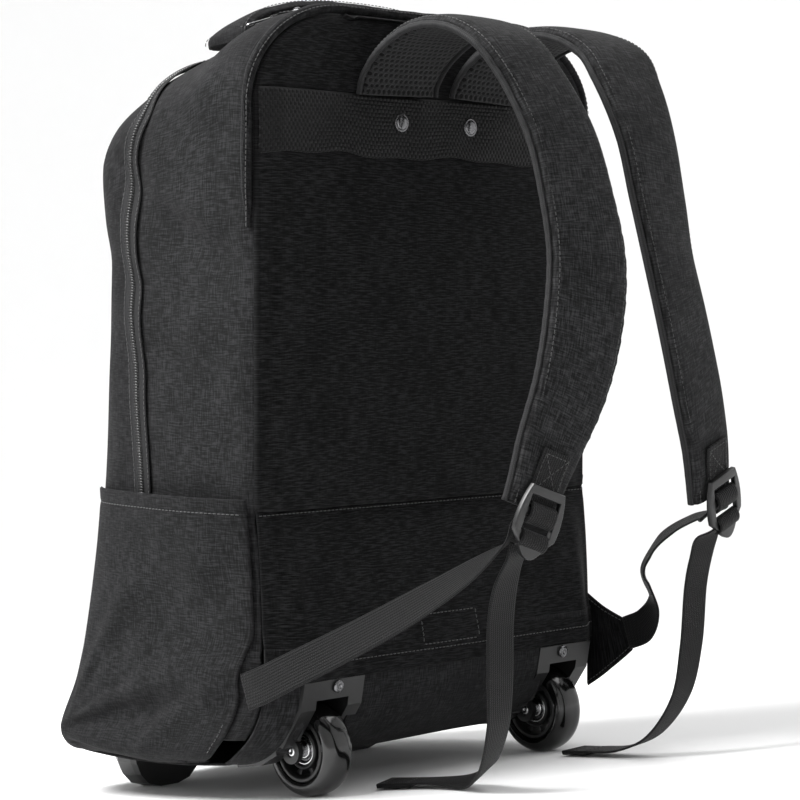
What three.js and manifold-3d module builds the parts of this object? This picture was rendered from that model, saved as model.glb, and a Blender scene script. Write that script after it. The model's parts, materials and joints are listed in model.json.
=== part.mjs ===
import * as THREE from 'three';
import { mergeVertices } from 'three/addons/utils/BufferGeometryUtils.js';
import Module from 'manifold-3d';

// A cabin-size wheeled backpack, in millimetres. It is modelled upright, in the bag's own frame: x
// runs to the right of someone who looks at the shoulder straps, y from the back panel to the front,
// and z up from the line where the wheels meet the floor. The last lines lean it back onto its wheels
// and its front feet.

const wasm = await Module();
wasm.setup();

// Body
const panelWidth = 326;
const panelTop = 524;
const panelPlane = 4;
const baseHeight = 23;
const baseSag = 11;
const bagDepth = 176;
const mainDepth = 112;
const wall = 2.5;
const seat = 0.6;
const archAcross = 79;
const archDown = 61;
const waistHeight = 380;
const footingHeight = 64;
const heelRound = 14;
const faceSwell = 9;

// Lower back, base and pockets
const skin = 2;
const pouchTop = 194;
const pouchSwell = 21;
const hemHeight = 82;
const hemWidth = 11;
const baseRound = 61;
const baseRoundHeight = 84;
const pocketHeight = 201;
const pocketGape = 9;
const pocketSeam = 2.5;
const frontPocketTop = 352;
const frontPocketSwell = 5;

// Back panel, band and grab handle
const panelThickness = 6;
const bandTop = 471;
const bandWidth = 40;
const bandThickness = 1.6;
const rivetSpacing = 68.6;
const rivetRadius = 5;
const weltRadius = 3.6;
const handleSpan = 204;
const handleWidth = 52;
const handleRise = 25;
const handleThickness = 8;
const handleDepth = 95;
const meshThickness = 2.4;

// Zips
const zipTape = 17;
const tapeThickness = 0.9;
const zipSlit = 2.4;
const mainZipHalf = 112;
const mainZipDepth = 40;
const pullLength = 33;
const pullWidth = 4;
const sliderLength = 11;

// Shoulder straps and webbing
const strapReach = 176;
const strapSpread = 91.6;
const strapDrop = 197;
const strapPad = 7.5;
const strapWidth = 60;
const webWidth = 25;
const webThickness = 1.5;
const patchLength = 46;
const buckleWidth = 36;
const buckleLength = 45;
const buckleThickness = 4;
const tabHeight = 70;

// Wheels, housings and feet
const wheelSpacing = 232;
const wheelRadius = 32;
const wheelWidth = 24;
const hubRadius = 22;
const bearingRadius = 10.5;
const axleRadius = 3.8;
const windowWidth = 29;
const windowTop = 68;
const plateWidth = 55;
const plateThickness = 3;
const cheek = 4;
const cheekLobe = 8.5;
const wellDepth = 38;
const wheelSetback = 1;
const footWidth = 66;
const footLength = 28;
const footStance = 97;
const footDepth = 172;
const footDrop = 19.5;
const footFlat = 16;

const gap = 0.3;
const underlay = seat + skin + seat;
const wheelToFoot = Math.hypot(footDepth - wheelSetback, wheelRadius + footDrop);
const leanBack = Math.acos(wheelRadius / wheelToFoot)
  - Math.atan2(footDepth - wheelSetback, wheelRadius + footDrop);
const left = -1;
const right = 1;

// Outline of the bag seen from the back, as shares of the way from the top's middle (0) to the base's
// middle (1)
const breaks = { top: 0.12, arch: 0.34, waist: 0.42, footing: 0.72, heel: 0.78, base: 0.88 };
const steps = { arch: 4, shoulder: 1, side: 10, footing: 1, heel: 2 };
const columnStops = [-1, -0.87, -0.45, 0, 0.45, 0.87, 1];

// Sections through the depth of the bag. depth: share of the bag's depth; width: share of the half
// panel width; top: share of the panel's top height; across, down: the arch's corner as shares of its
// size at the back.
const bodySections = [
  { depth: 0.0, width: 1.0, top: 1.0, across: 1.0, down: 1.0 },
  { depth: 0.05, width: 1.016, top: 1.007, across: 1.0, down: 1.0 },
  { depth: 0.16, width: 1.026, top: 1.008, across: 1.0, down: 1.0 },
  { depth: 0.28, width: 1.035, top: 0.997, across: 1.02, down: 0.98 },
  { depth: 0.4, width: 1.037, top: 0.978, across: 1.05, down: 0.95 },
  { depth: 0.52, width: 1.035, top: 0.966, across: 1.05, down: 0.92 },
  { depth: 0.62, width: 1.03, top: 0.957, across: 1.05, down: 0.9 },
  { depth: 0.68, width: 1.03, top: 0.951, across: 1.05, down: 0.9 },
  { depth: 0.76, width: 1.03, top: 0.942, across: 1.05, down: 0.89 },
  { depth: 0.86, width: 1.024, top: 0.922, across: 1.0, down: 0.85 },
  { depth: 0.94, width: 0.995, top: 0.905, across: 0.95, down: 0.82 },
  { depth: 1.0, width: 0.93, top: 0.875, across: 0.8, down: 0.75 },
];
const zipShare = 0.68;

// Depth of the front zip's seam and of the front face. height: share of the panel's top height; zip:
// share of the main depth; front: share of the bag's depth, with the notch above the front pocket.
const depthProfile = [
  { height: 0.0, zip: 1.0, front: 1.33 },
  { height: 0.05, zip: 1.0, front: 1.3 },
  { height: 0.12, zip: 1.0, front: 1.19 },
  { height: 0.25, zip: 0.99, front: 1.07 },
  { height: 0.39, zip: 1.0, front: 0.985 },
  { height: 0.55, zip: 1.07, front: 0.94 },
  { height: 0.68, zip: 1.12, front: 0.915 },
  { height: 0.74, zip: 1.13, front: 0.955 },
  { height: 0.81, zip: 1.12, front: 0.98 },
  { height: 0.9, zip: 1.02, front: 0.95 },
  { height: 1.01, zip: 0.98, front: 0.93 },
];

// Soft folds across the sides. front, back: the fold's height at the front zip and at the back seam,
// as shares of the panel's top height; wide: its half width as a share of that height; deep: shares of
// the side's fold.
const sideFold = 5;
const sideFolds = [
  { front: 0.88, back: 0.77, wide: 0.028, deep: 0.9 },
  { front: 0.785, back: 0.655, wide: 0.034, deep: 1.0 },
  { front: 0.66, back: 0.57, wide: 0.03, deep: 0.7 },
  { front: 0.55, back: 0.48, wide: 0.035, deep: 0.4 },
  { front: 0.09, back: 0.135, wide: 0.03, deep: 0.9 },
  { front: 0.05, back: 0.19, wide: 0.026, deep: -0.8 },
];

// Swell of the lower back pouch below its seam. height: share of the pouch's top height; out: share of
// its swell.
const pouchProfile = [
  { height: 0.0, out: 1.0 },
  { height: 0.5, out: 1.0 },
  { height: 0.62, out: 0.92 },
  { height: 0.8, out: 0.62 },
  { height: 0.93, out: 0.25 },
  { height: 1.0, out: 0.0 },
];

// Centre line of a shoulder strap pad. back: share of the strap's reach behind its root; aside: share
// of its spread; up: height as a share of the way from its lower end (0) to the panel's top (1); wide:
// share of its width; turn: degrees that its inner edge stands farther back than its outer edge.
const strapRoute = [
  { back: 0, aside: 0.49, up: 0.842, wide: 1.22, turn: 0 },
  { back: 0.012, aside: 0.493, up: 0.868, wide: 1.22, turn: 0 },
  { back: 0.0894, aside: 0.5, up: 0.917, wide: 1.22, turn: 0 },
  { back: 0.267, aside: 0.524, up: 0.964, wide: 1.2, turn: 0 },
  { back: 0.466, aside: 0.555, up: 0.966, wide: 1.17, turn: 0 },
  { back: 0.63, aside: 0.575, up: 0.927, wide: 1.12, turn: -2 },
  { back: 0.728, aside: 0.531, up: 0.863, wide: 1.05, turn: -1 },
  { back: 0.85, aside: 0.47, up: 0.743, wide: 1.0, turn: 4 },
  { back: 0.918, aside: 0.444, up: 0.621, wide: 1.0, turn: 7 },
  { back: 0.97, aside: 0.451, up: 0.498, wide: 1.0, turn: 11 },
  { back: 0.997, aside: 0.544, up: 0.376, wide: 1.0, turn: 11 },
  { back: 1.0, aside: 0.68, up: 0.254, wide: 0.95, turn: 10 },
  { back: 0.976, aside: 0.862, up: 0.131, wide: 0.84, turn: 9 },
  { back: 0.943, aside: 1.0, up: 0.015, wide: 0.72, turn: 6 },
];

// Routes of the webbing. aside: share of the way from the strap's lower end (0) to the panel's edge
// (1); back: share of the strap's reach; up: share of the height of the strap's lower end; across:
// direction of its width.
const lowerWebLeft = [
  { aside: 1.063, back: -0.0455, up: 0.3807, across: [0, 0.3, 0.95] },
  { aside: 1.0462, back: 0.0284, up: 0.4061, across: [0.02, 0.35, 0.93] },
  { aside: 0.958, back: 0.1477, up: 0.4619, across: [0.15, 0.35, 0.93] },
  { aside: 0.7479, back: 0.3409, up: 0.5584, across: [0.25, 0.35, 0.9] },
  { aside: 0.5238, back: 0.5966, up: 0.6904, across: [0.4, 0.35, 0.85] },
  { aside: 0.3277, back: 0.8239, up: 0.8223, across: [0.7, 0.3, 0.65] },
  { aside: 0.1737, back: 0.9545, up: 0.9188, across: [0.95, 0.1, 0.3] },
];
const lowerWebRight = [
  { aside: 0.972, back: 0.25, up: 0.4416, across: [0.1, 0.5, 0.86] },
  { aside: 0.958, back: 0.3523, up: 0.4822, across: [0.1, 0.5, 0.86] },
  { aside: 0.888, back: 0.4261, up: 0.5685, across: [0.5, 0.75, 0.4] },
  { aside: 0.7759, back: 0.4091, up: 0.6853, across: [0.7, 0.7, -0.1] },
  { aside: 0.6779, back: 0.5, up: 0.7919, across: [0.8, 0.5, 0.3] },
  { aside: 0.4678, back: 0.7102, up: 0.8883, across: [0.9, 0.1, 0.4] },
  { aside: 0.2157, back: 0.9318, up: 0.9442, across: [0.95, -0.1, 0.2] },
];
const tailLeft = [
  { aside: 0.1317, back: 0.9659, up: 0.8731, across: [0.95, 0.1, 0.25] },
  { aside: 0.1317, back: 0.9205, up: 0.7868, across: [0.97, 0.05, 0.1] },
  { aside: 0.0756, back: 0.875, up: 0.6599, across: [0.97, 0, 0] },
  { aside: 0.0196, back: 0.8523, up: 0.4822, across: [1, 0, 0] },
  { aside: -0.0644, back: 0.8125, up: 0.3147, across: [0.98, 0.15, 0] },
  { aside: -0.2605, back: 0.6818, up: 0.1523, across: [0.9, 0.4, 0] },
  { aside: -0.4146, back: 0.5398, up: 0.0888, across: [0.75, 0.55, 0.1] },
  { aside: -0.4146, back: 0.3523, up: 0.0609, across: [0.93, 0.3, 0] },
  { aside: -0.2465, back: 0.1534, up: 0.0406, across: [0.9, 0.4, 0] },
];
const tailRight = [
  { aside: 0.0896, back: 0.9432, up: 0.8731, across: [0.95, -0.1, 0.2] },
  { aside: 0.1036, back: 0.9091, up: 0.802, across: [0.97, 0, 0] },
  { aside: 0.1457, back: 0.8693, up: 0.6954, across: [1, 0, 0] },
  { aside: 0.1317, back: 0.8523, up: 0.4822, across: [1, 0, 0] },
  { aside: 0.1036, back: 0.8125, up: 0.3046, across: [1, 0.1, 0] },
  { aside: 0.0756, back: 0.6932, up: 0.1574, across: [0.97, 0.2, 0] },
  { aside: 0.0896, back: 0.5398, up: 0.0888, across: [0.95, 0.25, 0] },
  { aside: 0.1176, back: 0.3864, up: 0.0635, across: [0.95, 0.2, 0] },
  { aside: 0.1317, back: 0.25, up: 0.0482, across: [0.95, 0.2, 0] },
];

// Colours
const finishes = {
  melange: { color: 0x2b2b2c, roughness: 0.92, metalness: 0 },
  panelCloth: { color: 0x1c1c1d, roughness: 0.92, metalness: 0 },
  webbing: { color: 0x161617, roughness: 0.8, metalness: 0 },
  mesh: { color: 0x0e0e0f, roughness: 0.95, metalness: 0 },
  plastic: { color: 0x141415, roughness: 0.45, metalness: 0 },
  tyre: { color: 0x080808, roughness: 0.12, metalness: 0 },
  steel: { color: 0xb9bbbd, roughness: 0.25, metalness: 1 },
  gunmetal: { color: 0x55565a, roughness: 0.3, metalness: 1 },
};

const bag = new THREE.Group();

function add(name, geometry, finish, group = bag) {
  const mesh = new THREE.Mesh(geometry, new THREE.MeshStandardMaterial(finishes[finish]));
  mesh.name = name;
  group.add(mesh);
  return mesh;
}

const mix = (a, b, share) => a + (b - a) * share;
const clamp = (value) => Math.min(1, Math.max(0, value));
const ease = (from, to, value) => {
  const share = clamp((value - from) / (to - from));
  return share * share * (3 - 2 * share);
};
const vector = ([x, y, z]) => new THREE.Vector3(x, y, z);

// Smooth value of one column of a table, read at a value of its first column
function lookUp(rows, key, value, column) {
  let i = 0;
  while (i < rows.length - 2 && value > rows[i + 1][key]) i += 1;
  const [from, to] = [rows[i], rows[i + 1]];
  const before = rows[Math.max(0, i - 1)];
  const after = rows[Math.min(rows.length - 1, i + 2)];
  const span = to[key] - from[key];
  const share = clamp((value - from[key]) / span);
  const slopeFrom = i === 0 ? 0 : (to[column] - before[column]) / (to[key] - before[key]);
  const slopeTo = i + 2 >= rows.length ? 0 : (after[column] - from[column]) / (after[key] - from[key]);
  const s2 = share * share;
  const s3 = s2 * share;
  return (2 * s3 - 3 * s2 + 1) * from[column] + (s3 - 2 * s2 + share) * span * slopeFrom
    + (3 * s2 - 2 * s3) * to[column] + (s3 - s2) * span * slopeTo;
}

// A closed solid from its points and faces
function solidGeometry(points, faces) {
  const geometry = new THREE.BufferGeometry();
  const places = points.flatMap((p) => [p.x, p.y, p.z]);
  geometry.setAttribute('position', new THREE.Float32BufferAttribute(places, 3));
  geometry.setIndex(faces);
  return geometry;
}

function toManifold(geometry) {
  const bare = geometry.clone();
  bare.deleteAttribute('normal');
  bare.deleteAttribute('uv');
  const merged = mergeVertices(bare, 1e-4);
  return new wasm.Manifold(new wasm.Mesh({
    numProp: 3,
    vertProperties: new Float32Array(merged.attributes.position.array),
    triVerts: new Uint32Array(merged.index.array),
  }));
}

function fromManifold(manifold) {
  const { vertProperties, triVerts } = manifold.getMesh();
  const geometry = new THREE.BufferGeometry();
  geometry.setAttribute('position', new THREE.Float32BufferAttribute(vertProperties, 3));
  geometry.setIndex(new THREE.Uint32BufferAttribute(triVerts, 1));
  return geometry;
}

function joined(first, ...others) {
  return fromManifold(others.reduce((sum, other) => sum.add(toManifold(other)), toManifold(first)));
}

function cut(first, ...others) {
  return fromManifold(others.reduce((rest, other) => rest.subtract(toManifold(other)), toManifold(first)));
}

// Turns a geometry inside out where its volume comes out negative
function facingOut(geometry) {
  const { position } = geometry.attributes;
  const index = geometry.index.array;
  const [a, b, c] = [new THREE.Vector3(), new THREE.Vector3(), new THREE.Vector3()];
  let volume = 0;
  for (let i = 0; i < index.length; i += 3) {
    a.fromBufferAttribute(position, index[i]);
    b.fromBufferAttribute(position, index[i + 1]);
    c.fromBufferAttribute(position, index[i + 2]);
    volume += a.dot(b.cross(c));
  }
  if (volume < 0) {
    for (let i = 0; i < index.length; i += 3) [index[i + 1], index[i + 2]] = [index[i + 2], index[i + 1]];
  }
  return geometry;
}

// A layer of cloth between two grids of points that have the same rows and columns
function layer(outer, inner) {
  const rows = outer.length;
  const columns = outer[0].length;
  const points = [...outer.flat(), ...inner.flat()];
  const at = (side, i, j) => side * rows * columns + i * columns + j;
  const faces = [];
  const quad = (a, b, c, d) => faces.push(a, b, c, a, c, d);
  for (let i = 0; i + 1 < rows; i += 1) {
    for (let j = 0; j + 1 < columns; j += 1) {
      quad(at(0, i, j), at(0, i, j + 1), at(0, i + 1, j + 1), at(0, i + 1, j));
      quad(at(1, i, j), at(1, i + 1, j), at(1, i + 1, j + 1), at(1, i, j + 1));
    }
    quad(at(0, i, 0), at(0, i + 1, 0), at(1, i + 1, 0), at(1, i, 0));
    quad(at(0, i, columns - 1), at(1, i, columns - 1), at(1, i + 1, columns - 1), at(0, i + 1, columns - 1));
  }
  for (let j = 0; j + 1 < columns; j += 1) {
    quad(at(0, 0, j), at(1, 0, j), at(1, 0, j + 1), at(0, 0, j + 1));
    quad(at(0, rows - 1, j), at(0, rows - 1, j + 1), at(1, rows - 1, j + 1), at(1, rows - 1, j));
  }
  return facingOut(solidGeometry(points, faces));
}

// A solid swept through frames, each with its place, its width direction and its face direction
function sweep(frames, profile) {
  const rings = frames.map(({ at, across, out, scale = 1 }) => profile.map(([x, y]) => at.clone()
    .addScaledVector(across, x * scale).addScaledVector(out, y)));
  const count = profile.length;
  const faces = [];
  for (let i = 0; i + 1 < rings.length; i += 1) {
    for (let j = 0; j < count; j += 1) {
      const k = (j + 1) % count;
      faces.push(i * count + j, i * count + k, (i + 1) * count + k);
      faces.push(i * count + j, (i + 1) * count + k, (i + 1) * count + j);
    }
  }
  const contour = profile.map(([x, y]) => new THREE.Vector2(x, y));
  const [near, far] = THREE.ShapeUtils.isClockWise(contour) ? [1, 2] : [2, 1];
  const end = (rings.length - 1) * count;
  THREE.ShapeUtils.triangulateShape(contour, []).forEach((face) => {
    faces.push(face[0], face[near], face[far], end + face[0], end + face[far], end + face[near]);
  });
  return facingOut(solidGeometry(rings.flat(), faces));
}

// Section of a flat band, and of a pad with round edges
const bandSection = (width, thickness) => [
  [-width / 2, 0], [width / 2, 0], [width / 2, thickness], [-width / 2, thickness],
];
const padSection = (width, thickness, rise = 0) => [
  [-0.45, 0], [-0.2, 0], [0.2, 0], [0.45, 0], [0.5, 0.4],
  [0.47, 0.8], [0.2, 1], [-0.2, 1], [-0.47, 0.8], [-0.5, 0.4],
].map(([x, y]) => [x * width, y * thickness + rise]);
const liningSection = (width, thickness, rise = 0) => [
  [-0.45, 1], [-0.2, 1], [0.2, 1], [0.45, 1], [0.43, 0], [-0.43, 0],
].map(([x, y]) => [x * width, y * thickness + rise]);

// Frames along a smooth line through the given places, with the face at a right angle to the run
function framesAlong(stations, count) {
  const line = new THREE.CatmullRomCurve3(stations.map((s) => s.at), false, 'centripetal');
  const frames = [];
  for (let i = 0; i <= count; i += 1) {
    const share = i / count;
    const place = share * (stations.length - 1);
    const low = Math.min(stations.length - 2, Math.floor(place));
    const run = line.getTangent(share);
    const across = stations[low].across.clone().lerp(stations[low + 1].across, place - low);
    across.addScaledVector(run, -across.dot(run)).normalize();
    const scale = mix(stations[low].scale ?? 1, stations[low + 1].scale ?? 1, place - low);
    const out = new THREE.Vector3().crossVectors(run, across);
    frames.push({ at: line.getPoint(share), across, out, scale });
  }
  return frames;
}

const webStation = (side, { aside, back, up, across }) => ({
  at: new THREE.Vector3(side * mix(strapSpread, panelWidth / 2, aside), -back * strapReach, up * strapDrop),
  across: vector(across).normalize(),
});

// The bag's body

function sectionAt(share) {
  const read = (column) => lookUp(bodySections, 'depth', share, column);
  return {
    half: (panelWidth / 2) * read('width'),
    top: panelTop * read('top'),
    across: archAcross * read('across'),
    down: archDown * read('down'),
    base: baseHeight - baseSag * share,
  };
}

// A point of the outline, with x on the right for a positive place
function outlinePoint(place, section, inset) {
  const a = Math.abs(place);
  const half = section.half - inset;
  const top = section.top - inset;
  const base = section.base + inset;
  const across = section.across - inset;
  const down = section.down - inset;
  const heel = heelRound - inset;
  const b = breaks;
  let x = half;
  let z = 0;
  if (a <= b.top) {
    x = (half - across) * (a / b.top);
    z = top;
  } else if (a <= b.arch) {
    const angle = (Math.PI / 2) * ((a - b.top) / (b.arch - b.top));
    x = half - across + across * Math.sin(angle);
    z = top - down + down * Math.cos(angle);
  } else if (a <= b.waist) {
    z = mix(top - down, waistHeight, (a - b.arch) / (b.waist - b.arch));
  } else if (a <= b.footing) {
    z = mix(waistHeight, footingHeight, (a - b.waist) / (b.footing - b.waist));
  } else if (a <= b.heel) {
    z = mix(footingHeight, base + heel, (a - b.footing) / (b.heel - b.footing));
  } else if (a <= b.base) {
    const angle = (Math.PI / 2) * ((a - b.heel) / (b.base - b.heel));
    x = half - heel + heel * Math.cos(angle);
    z = base + heel - heel * Math.sin(angle);
  } else {
    x = (half - heel) * ((1 - a) / (1 - b.base));
    z = base;
  }
  return { x: place < 0 ? -x : x, z };
}

const sidePlace = (height) => {
  const share = (waistHeight - height) / (waistHeight - footingHeight);
  return mix(breaks.waist, breaks.footing, share);
};

// The back face: flat above, swelling over the pouch, and round under the base; less proud at its side
// edges
function backDepth(x, z) {
  const swell = pouchSwell * lookUp(pouchProfile, 'height', z / pouchTop, 'out');
  const edge = ease(0.84, 1, Math.abs(x) / (panelWidth / 2));
  const below = baseRoundHeight - z;
  const inRound = Math.sqrt(Math.max(0, baseRound ** 2 - Math.max(0, below) ** 2));
  return panelPlane - swell * (1 - 0.7 * edge) + (baseRound - inRound);
}

const frontDepth = (z) => bagDepth * lookUp(depthProfile, 'height', z / panelTop, 'front');
const zipDepth = (z) => mainDepth * lookUp(depthProfile, 'height', z / panelTop, 'zip');

// How far the side's cloth lies in at a height, at a share of the depth from the back seam to the
// front zip
function foldAt(z, share) {
  return sideFolds.reduce((sum, fold) => {
    const middle = mix(fold.back, fold.front, share);
    const away = (z / panelTop - middle) / fold.wide;
    return sum + sideFold * fold.deep * Math.exp(-away * away);
  }, 0);
}

// A point of the body's skin. place goes round the outline, share through the depth; inset is below
// the skin.
function bodyPoint(place, share, inset = 0) {
  const { x, z } = outlinePoint(place, sectionAt(share), inset);
  const back = backDepth(x, z);
  const zip = zipDepth(z);
  const front = frontDepth(z);
  const beyond = (share - zipShare) / (1 - zipShare);
  const y = share <= zipShare ? mix(back, zip, share / zipShare) : mix(zip, front, beyond);
  const a = Math.abs(place);
  const onSide = ease(breaks.top, breaks.arch, a) * (1 - ease(breaks.heel, breaks.base, a));
  const held = Math.sin(Math.PI * clamp(share / 0.96)) ** 0.6;
  const fold = foldAt(z, share / zipShare) * onSide * held;
  return new THREE.Vector3(x - Math.sign(x) * fold, y, z);
}

// Outward direction of the skin
function bodyOut(place, share) {
  const h = 0.004;
  const low = Math.max(0, share - h);
  const high = Math.min(1, share + h);
  const around = bodyPoint(place + h, share).sub(bodyPoint(place - h, share));
  const through = bodyPoint(place, high).sub(bodyPoint(place, low));
  return around.cross(through).normalize();
}

const onBody = (place, share, above) => bodyPoint(place, share)
  .addScaledVector(bodyOut(place, share), above);

// Places round one half of the outline, so that layers which lie on each other share their facets
function halfPlaces() {
  const spans = [
    [breaks.top, breaks.arch, steps.arch], [breaks.arch, breaks.waist, steps.shoulder],
    [breaks.waist, breaks.footing, steps.side], [breaks.footing, breaks.heel, steps.footing],
    [breaks.heel, breaks.base, steps.heel],
  ];
  const places = [breaks.top];
  spans.forEach(([from, to, count]) => {
    for (let i = 1; i <= count; i += 1) places.push(mix(from, to, i / count));
  });
  return places;
}
const sidePlaces = halfPlaces();
const depthStops = bodySections.map((row) => row.depth);

// A closed face across the outline: rows follow the side places, columns run from left to right
function faceGrid(share, inset, shift, depthOf) {
  const rim = (place) => {
    const point = bodyPoint(place, share, inset);
    point.y += shift;
    return point;
  };
  const last = sidePlaces.length - 1;
  return sidePlaces.map((place, i) => columnStops.map((across) => {
    if (i === 0) return rim(across * breaks.top);
    if (i === last) return rim(Math.sign(across || 1) - across * (1 - breaks.base));
    if (Math.abs(across) === 1) return rim(across * place);
    const { x, z } = outlinePoint(place, sectionAt(share), inset);
    return new THREE.Vector3(x * across, depthOf(x * across, z) + shift, z);
  }));
}

// The solid between two shares of the depth, with a closed face at each end
function bodySolid({ from, to, inset, backShift, frontShift, backFace, frontFace }) {
  const shares = [from, ...depthStops.filter((share) => share > from + 0.01 && share < to - 0.01), to];
  const rimOf = (grid) => [
    ...grid[0], ...grid.slice(1, -1).map((row) => row.at(-1)),
    ...grid.at(-1).toReversed(), ...grid.slice(1, -1).map((row) => row[0]).reverse(),
  ];
  const grids = [faceGrid(from, inset, backShift, backFace), faceGrid(to, inset, frontShift, frontFace)];
  const rings = shares.map((share, i) => {
    if (i === 0) return rimOf(grids[0]);
    if (i === shares.length - 1) return rimOf(grids[1]);
    return rimOf(faceGrid(share, inset, 0, backFace));
  });
  const points = rings.flat();
  const count = rings[0].length;
  const faces = [];
  const quad = (a, b, c, d) => faces.push(a, b, c, a, c, d);
  for (let i = 0; i + 1 < rings.length; i += 1) {
    for (let j = 0; j < count; j += 1) {
      const k = (j + 1) % count;
      quad(i * count + j, (i + 1) * count + j, (i + 1) * count + k, i * count + k);
    }
  }
  grids.forEach((grid, side) => {
    const start = points.length;
    const columns = grid[0].length;
    points.push(...grid.flat());
    for (let i = 0; i + 1 < grid.length; i += 1) {
      for (let j = 0; j + 1 < columns; j += 1) {
        const a = start + i * columns + j;
        const [b, c, d] = [a + 1, a + columns + 1, a + columns];
        if (side === 0) quad(a, b, c, d);
        else quad(a, d, c, b);
      }
    }
  });
  return facingOut(mergeVertices(solidGeometry(points, faces), 1e-3));
}

const box = (low, high) => {
  const size = high.map((value, i) => value - low[i]);
  return new THREE.BoxGeometry(...size).translate(...low.map((value, i) => value + size[i] / 2));
};

// A disc or pin on an axis along x
const pinAlongX = (radius, length, sides, x, y, z) => (
  new THREE.CylinderGeometry(radius, radius, length, sides).rotateZ(Math.PI / 2).translate(x, y, z)
);

// Wheel wells are cut out of whatever they pass through
const wheelX = (side) => (side * wheelSpacing) / 2;
const wellHalf = windowWidth / 2 + cheek;
const wellTop = windowTop + cheek;
const wellCuts = [left, right].map((side) => box(
  [wheelX(side) - wellHalf - gap, -baseRound, -baseRound],
  [wheelX(side) + wellHalf + gap, wellDepth + plateThickness + gap, wellTop + plateThickness + gap],
));

// Frames along the body's skin from one place of the outline to another
function skinFrames(share, from, to, above) {
  const stops = [...new Set([
    from, ...sidePlaces.map((p) => -p), ...columnStops.map((c) => c * breaks.top), ...sidePlaces, to,
  ])].filter((place) => place >= from && place <= to).sort((a, b) => a - b);
  return stops.map((place) => {
    const out = bodyOut(place, share);
    const through = bodyPoint(place, share + 0.01).sub(bodyPoint(place, share - 0.01));
    const across = through.addScaledVector(out, -through.dot(out)).normalize();
    return { at: onBody(place, share, above), across, out };
  });
}

// Place on the arch that lies at a distance from the middle
function archPlace(x, share) {
  const section = sectionAt(share);
  const flat = section.half - section.across;
  if (x <= flat) return (breaks.top * x) / flat;
  return breaks.top + (breaks.arch - breaks.top) * (Math.asin((x - flat) / section.across) / (Math.PI / 2));
}

const mainZipShare = (zipShare * mainZipDepth) / mainDepth;
const mainZipEnd = archPlace(mainZipHalf, mainZipShare);

function buildMainShell() {
  const sides = { from: 0, to: zipShare, backFace: backDepth, frontFace: (x, z) => zipDepth(z) };
  const outer = bodySolid({ ...sides, inset: 0, backShift: 0, frontShift: -gap });
  const inner = bodySolid({ ...sides, inset: wall, backShift: wall, frontShift: -gap - wall });
  const slit = sweep(
    skinFrames(mainZipShare, -mainZipEnd + 0.01, mainZipEnd - 0.01, -2 * wall),
    bandSection(zipSlit, 4 * wall),
  );
  add('main_shell', cut(outer, inner, slit, ...wellCuts), 'melange');
}

function buildFrontCompartment() {
  const face = (x, z) => frontDepth(z) + frontFaceDepth(x, z);
  const sides = { from: zipShare, to: 1, backFace: (x, z) => zipDepth(z), frontFace: face };
  const outer = bodySolid({ ...sides, inset: 0, backShift: 0, frontShift: 0 });
  const inner = bodySolid({ ...sides, inset: wall, backShift: -wall, frontShift: -wall });
  add('front_compartment', cut(outer, inner), 'melange');
}

// Front face swelling out between its edges
function frontFaceDepth(x, z) {
  const across = Math.min(1, Math.abs(x) / (panelWidth / 2));
  return faceSwell * (1 - across ** 4) * Math.sin(Math.PI * clamp(z / panelTop)) ** 0.5;
}

function buildFrontPocket() {
  const shownRows = sidePlaces.filter((place) => {
    const { z } = outlinePoint(place, sectionAt(1), 0);
    return z <= frontPocketTop && place <= breaks.heel + 0.01;
  });
  const grid = (above) => shownRows.map((place, i) => columnStops.map((across, j) => {
    const { x, z } = outlinePoint(place, sectionAt(1), 0);
    const rim = i === 0 || i === shownRows.length - 1 || j === 0 || j === columnStops.length - 1;
    const swell = rim ? 0 : frontPocketSwell;
    const held = Math.abs(across) === 1
      ? bodyPoint(across * place, 1).y
      : frontDepth(z) + frontFaceDepth(x * across, z);
    return new THREE.Vector3(x * across * 0.995, held + above + swell, z);
  }));
  add('front_pocket', layer(grid(seat + skin), grid(seat)), 'melange');
}

function buildSidePocket(side, name) {
  const hem = sidePlace(pocketHeight);
  const rows = [hem, ...sidePlaces.filter((place) => place > hem + 0.005 && place < breaks.base + 0.001)];
  const columns = depthStops.slice(2, -1);
  const grid = (above) => rows.map((place) => {
    const down = (place - hem) / (breaks.heel - hem);
    const opened = ease(0.42, 0.62, down);
    return [mix(0.03, 0.11, opened), ...columns].map((share) => {
      const bow = Math.sin(Math.PI * clamp(share / 0.94)) ** 0.7;
      const gape = pocketGape * bow * (1 - ease(0, 0.5, down));
      return onBody(side * place, share, above + gape);
    });
  });
  const [outer, inner] = [grid(seat + skin), grid(seat)];
  if (side === left) [outer, inner].forEach((rows) => rows.reverse());
  add(name, layer(outer, inner), 'melange');
}

// The padded back panel lies on the body's flat back, inside the arch

const panelFace = (across, place) => {
  const rim = Math.max(ease(0.87, 1, Math.abs(across)), 1 - ease(breaks.top, breaks.arch * 0.6, place));
  return panelPlane - seat - panelThickness * (1 - 0.55 * rim);
};

function buildBackPanel() {
  const rows = sidePlaces.filter((place) => place < sidePlace(pouchTop + 1));
  rows.push(sidePlace(pouchTop + 1));
  const section = sectionAt(0);
  const spot = (place, across, y) => {
    const { x, z } = outlinePoint(place, section, seat);
    return new THREE.Vector3(x * across, y, z);
  };
  const grid = (depthOf) => rows.map((place) => columnStops.map(
    (across) => spot(place, across, depthOf(across, place)),
  ));
  add('back_panel', layer(grid(panelFace), grid(() => panelPlane - seat)), 'panelCloth');
}

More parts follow.
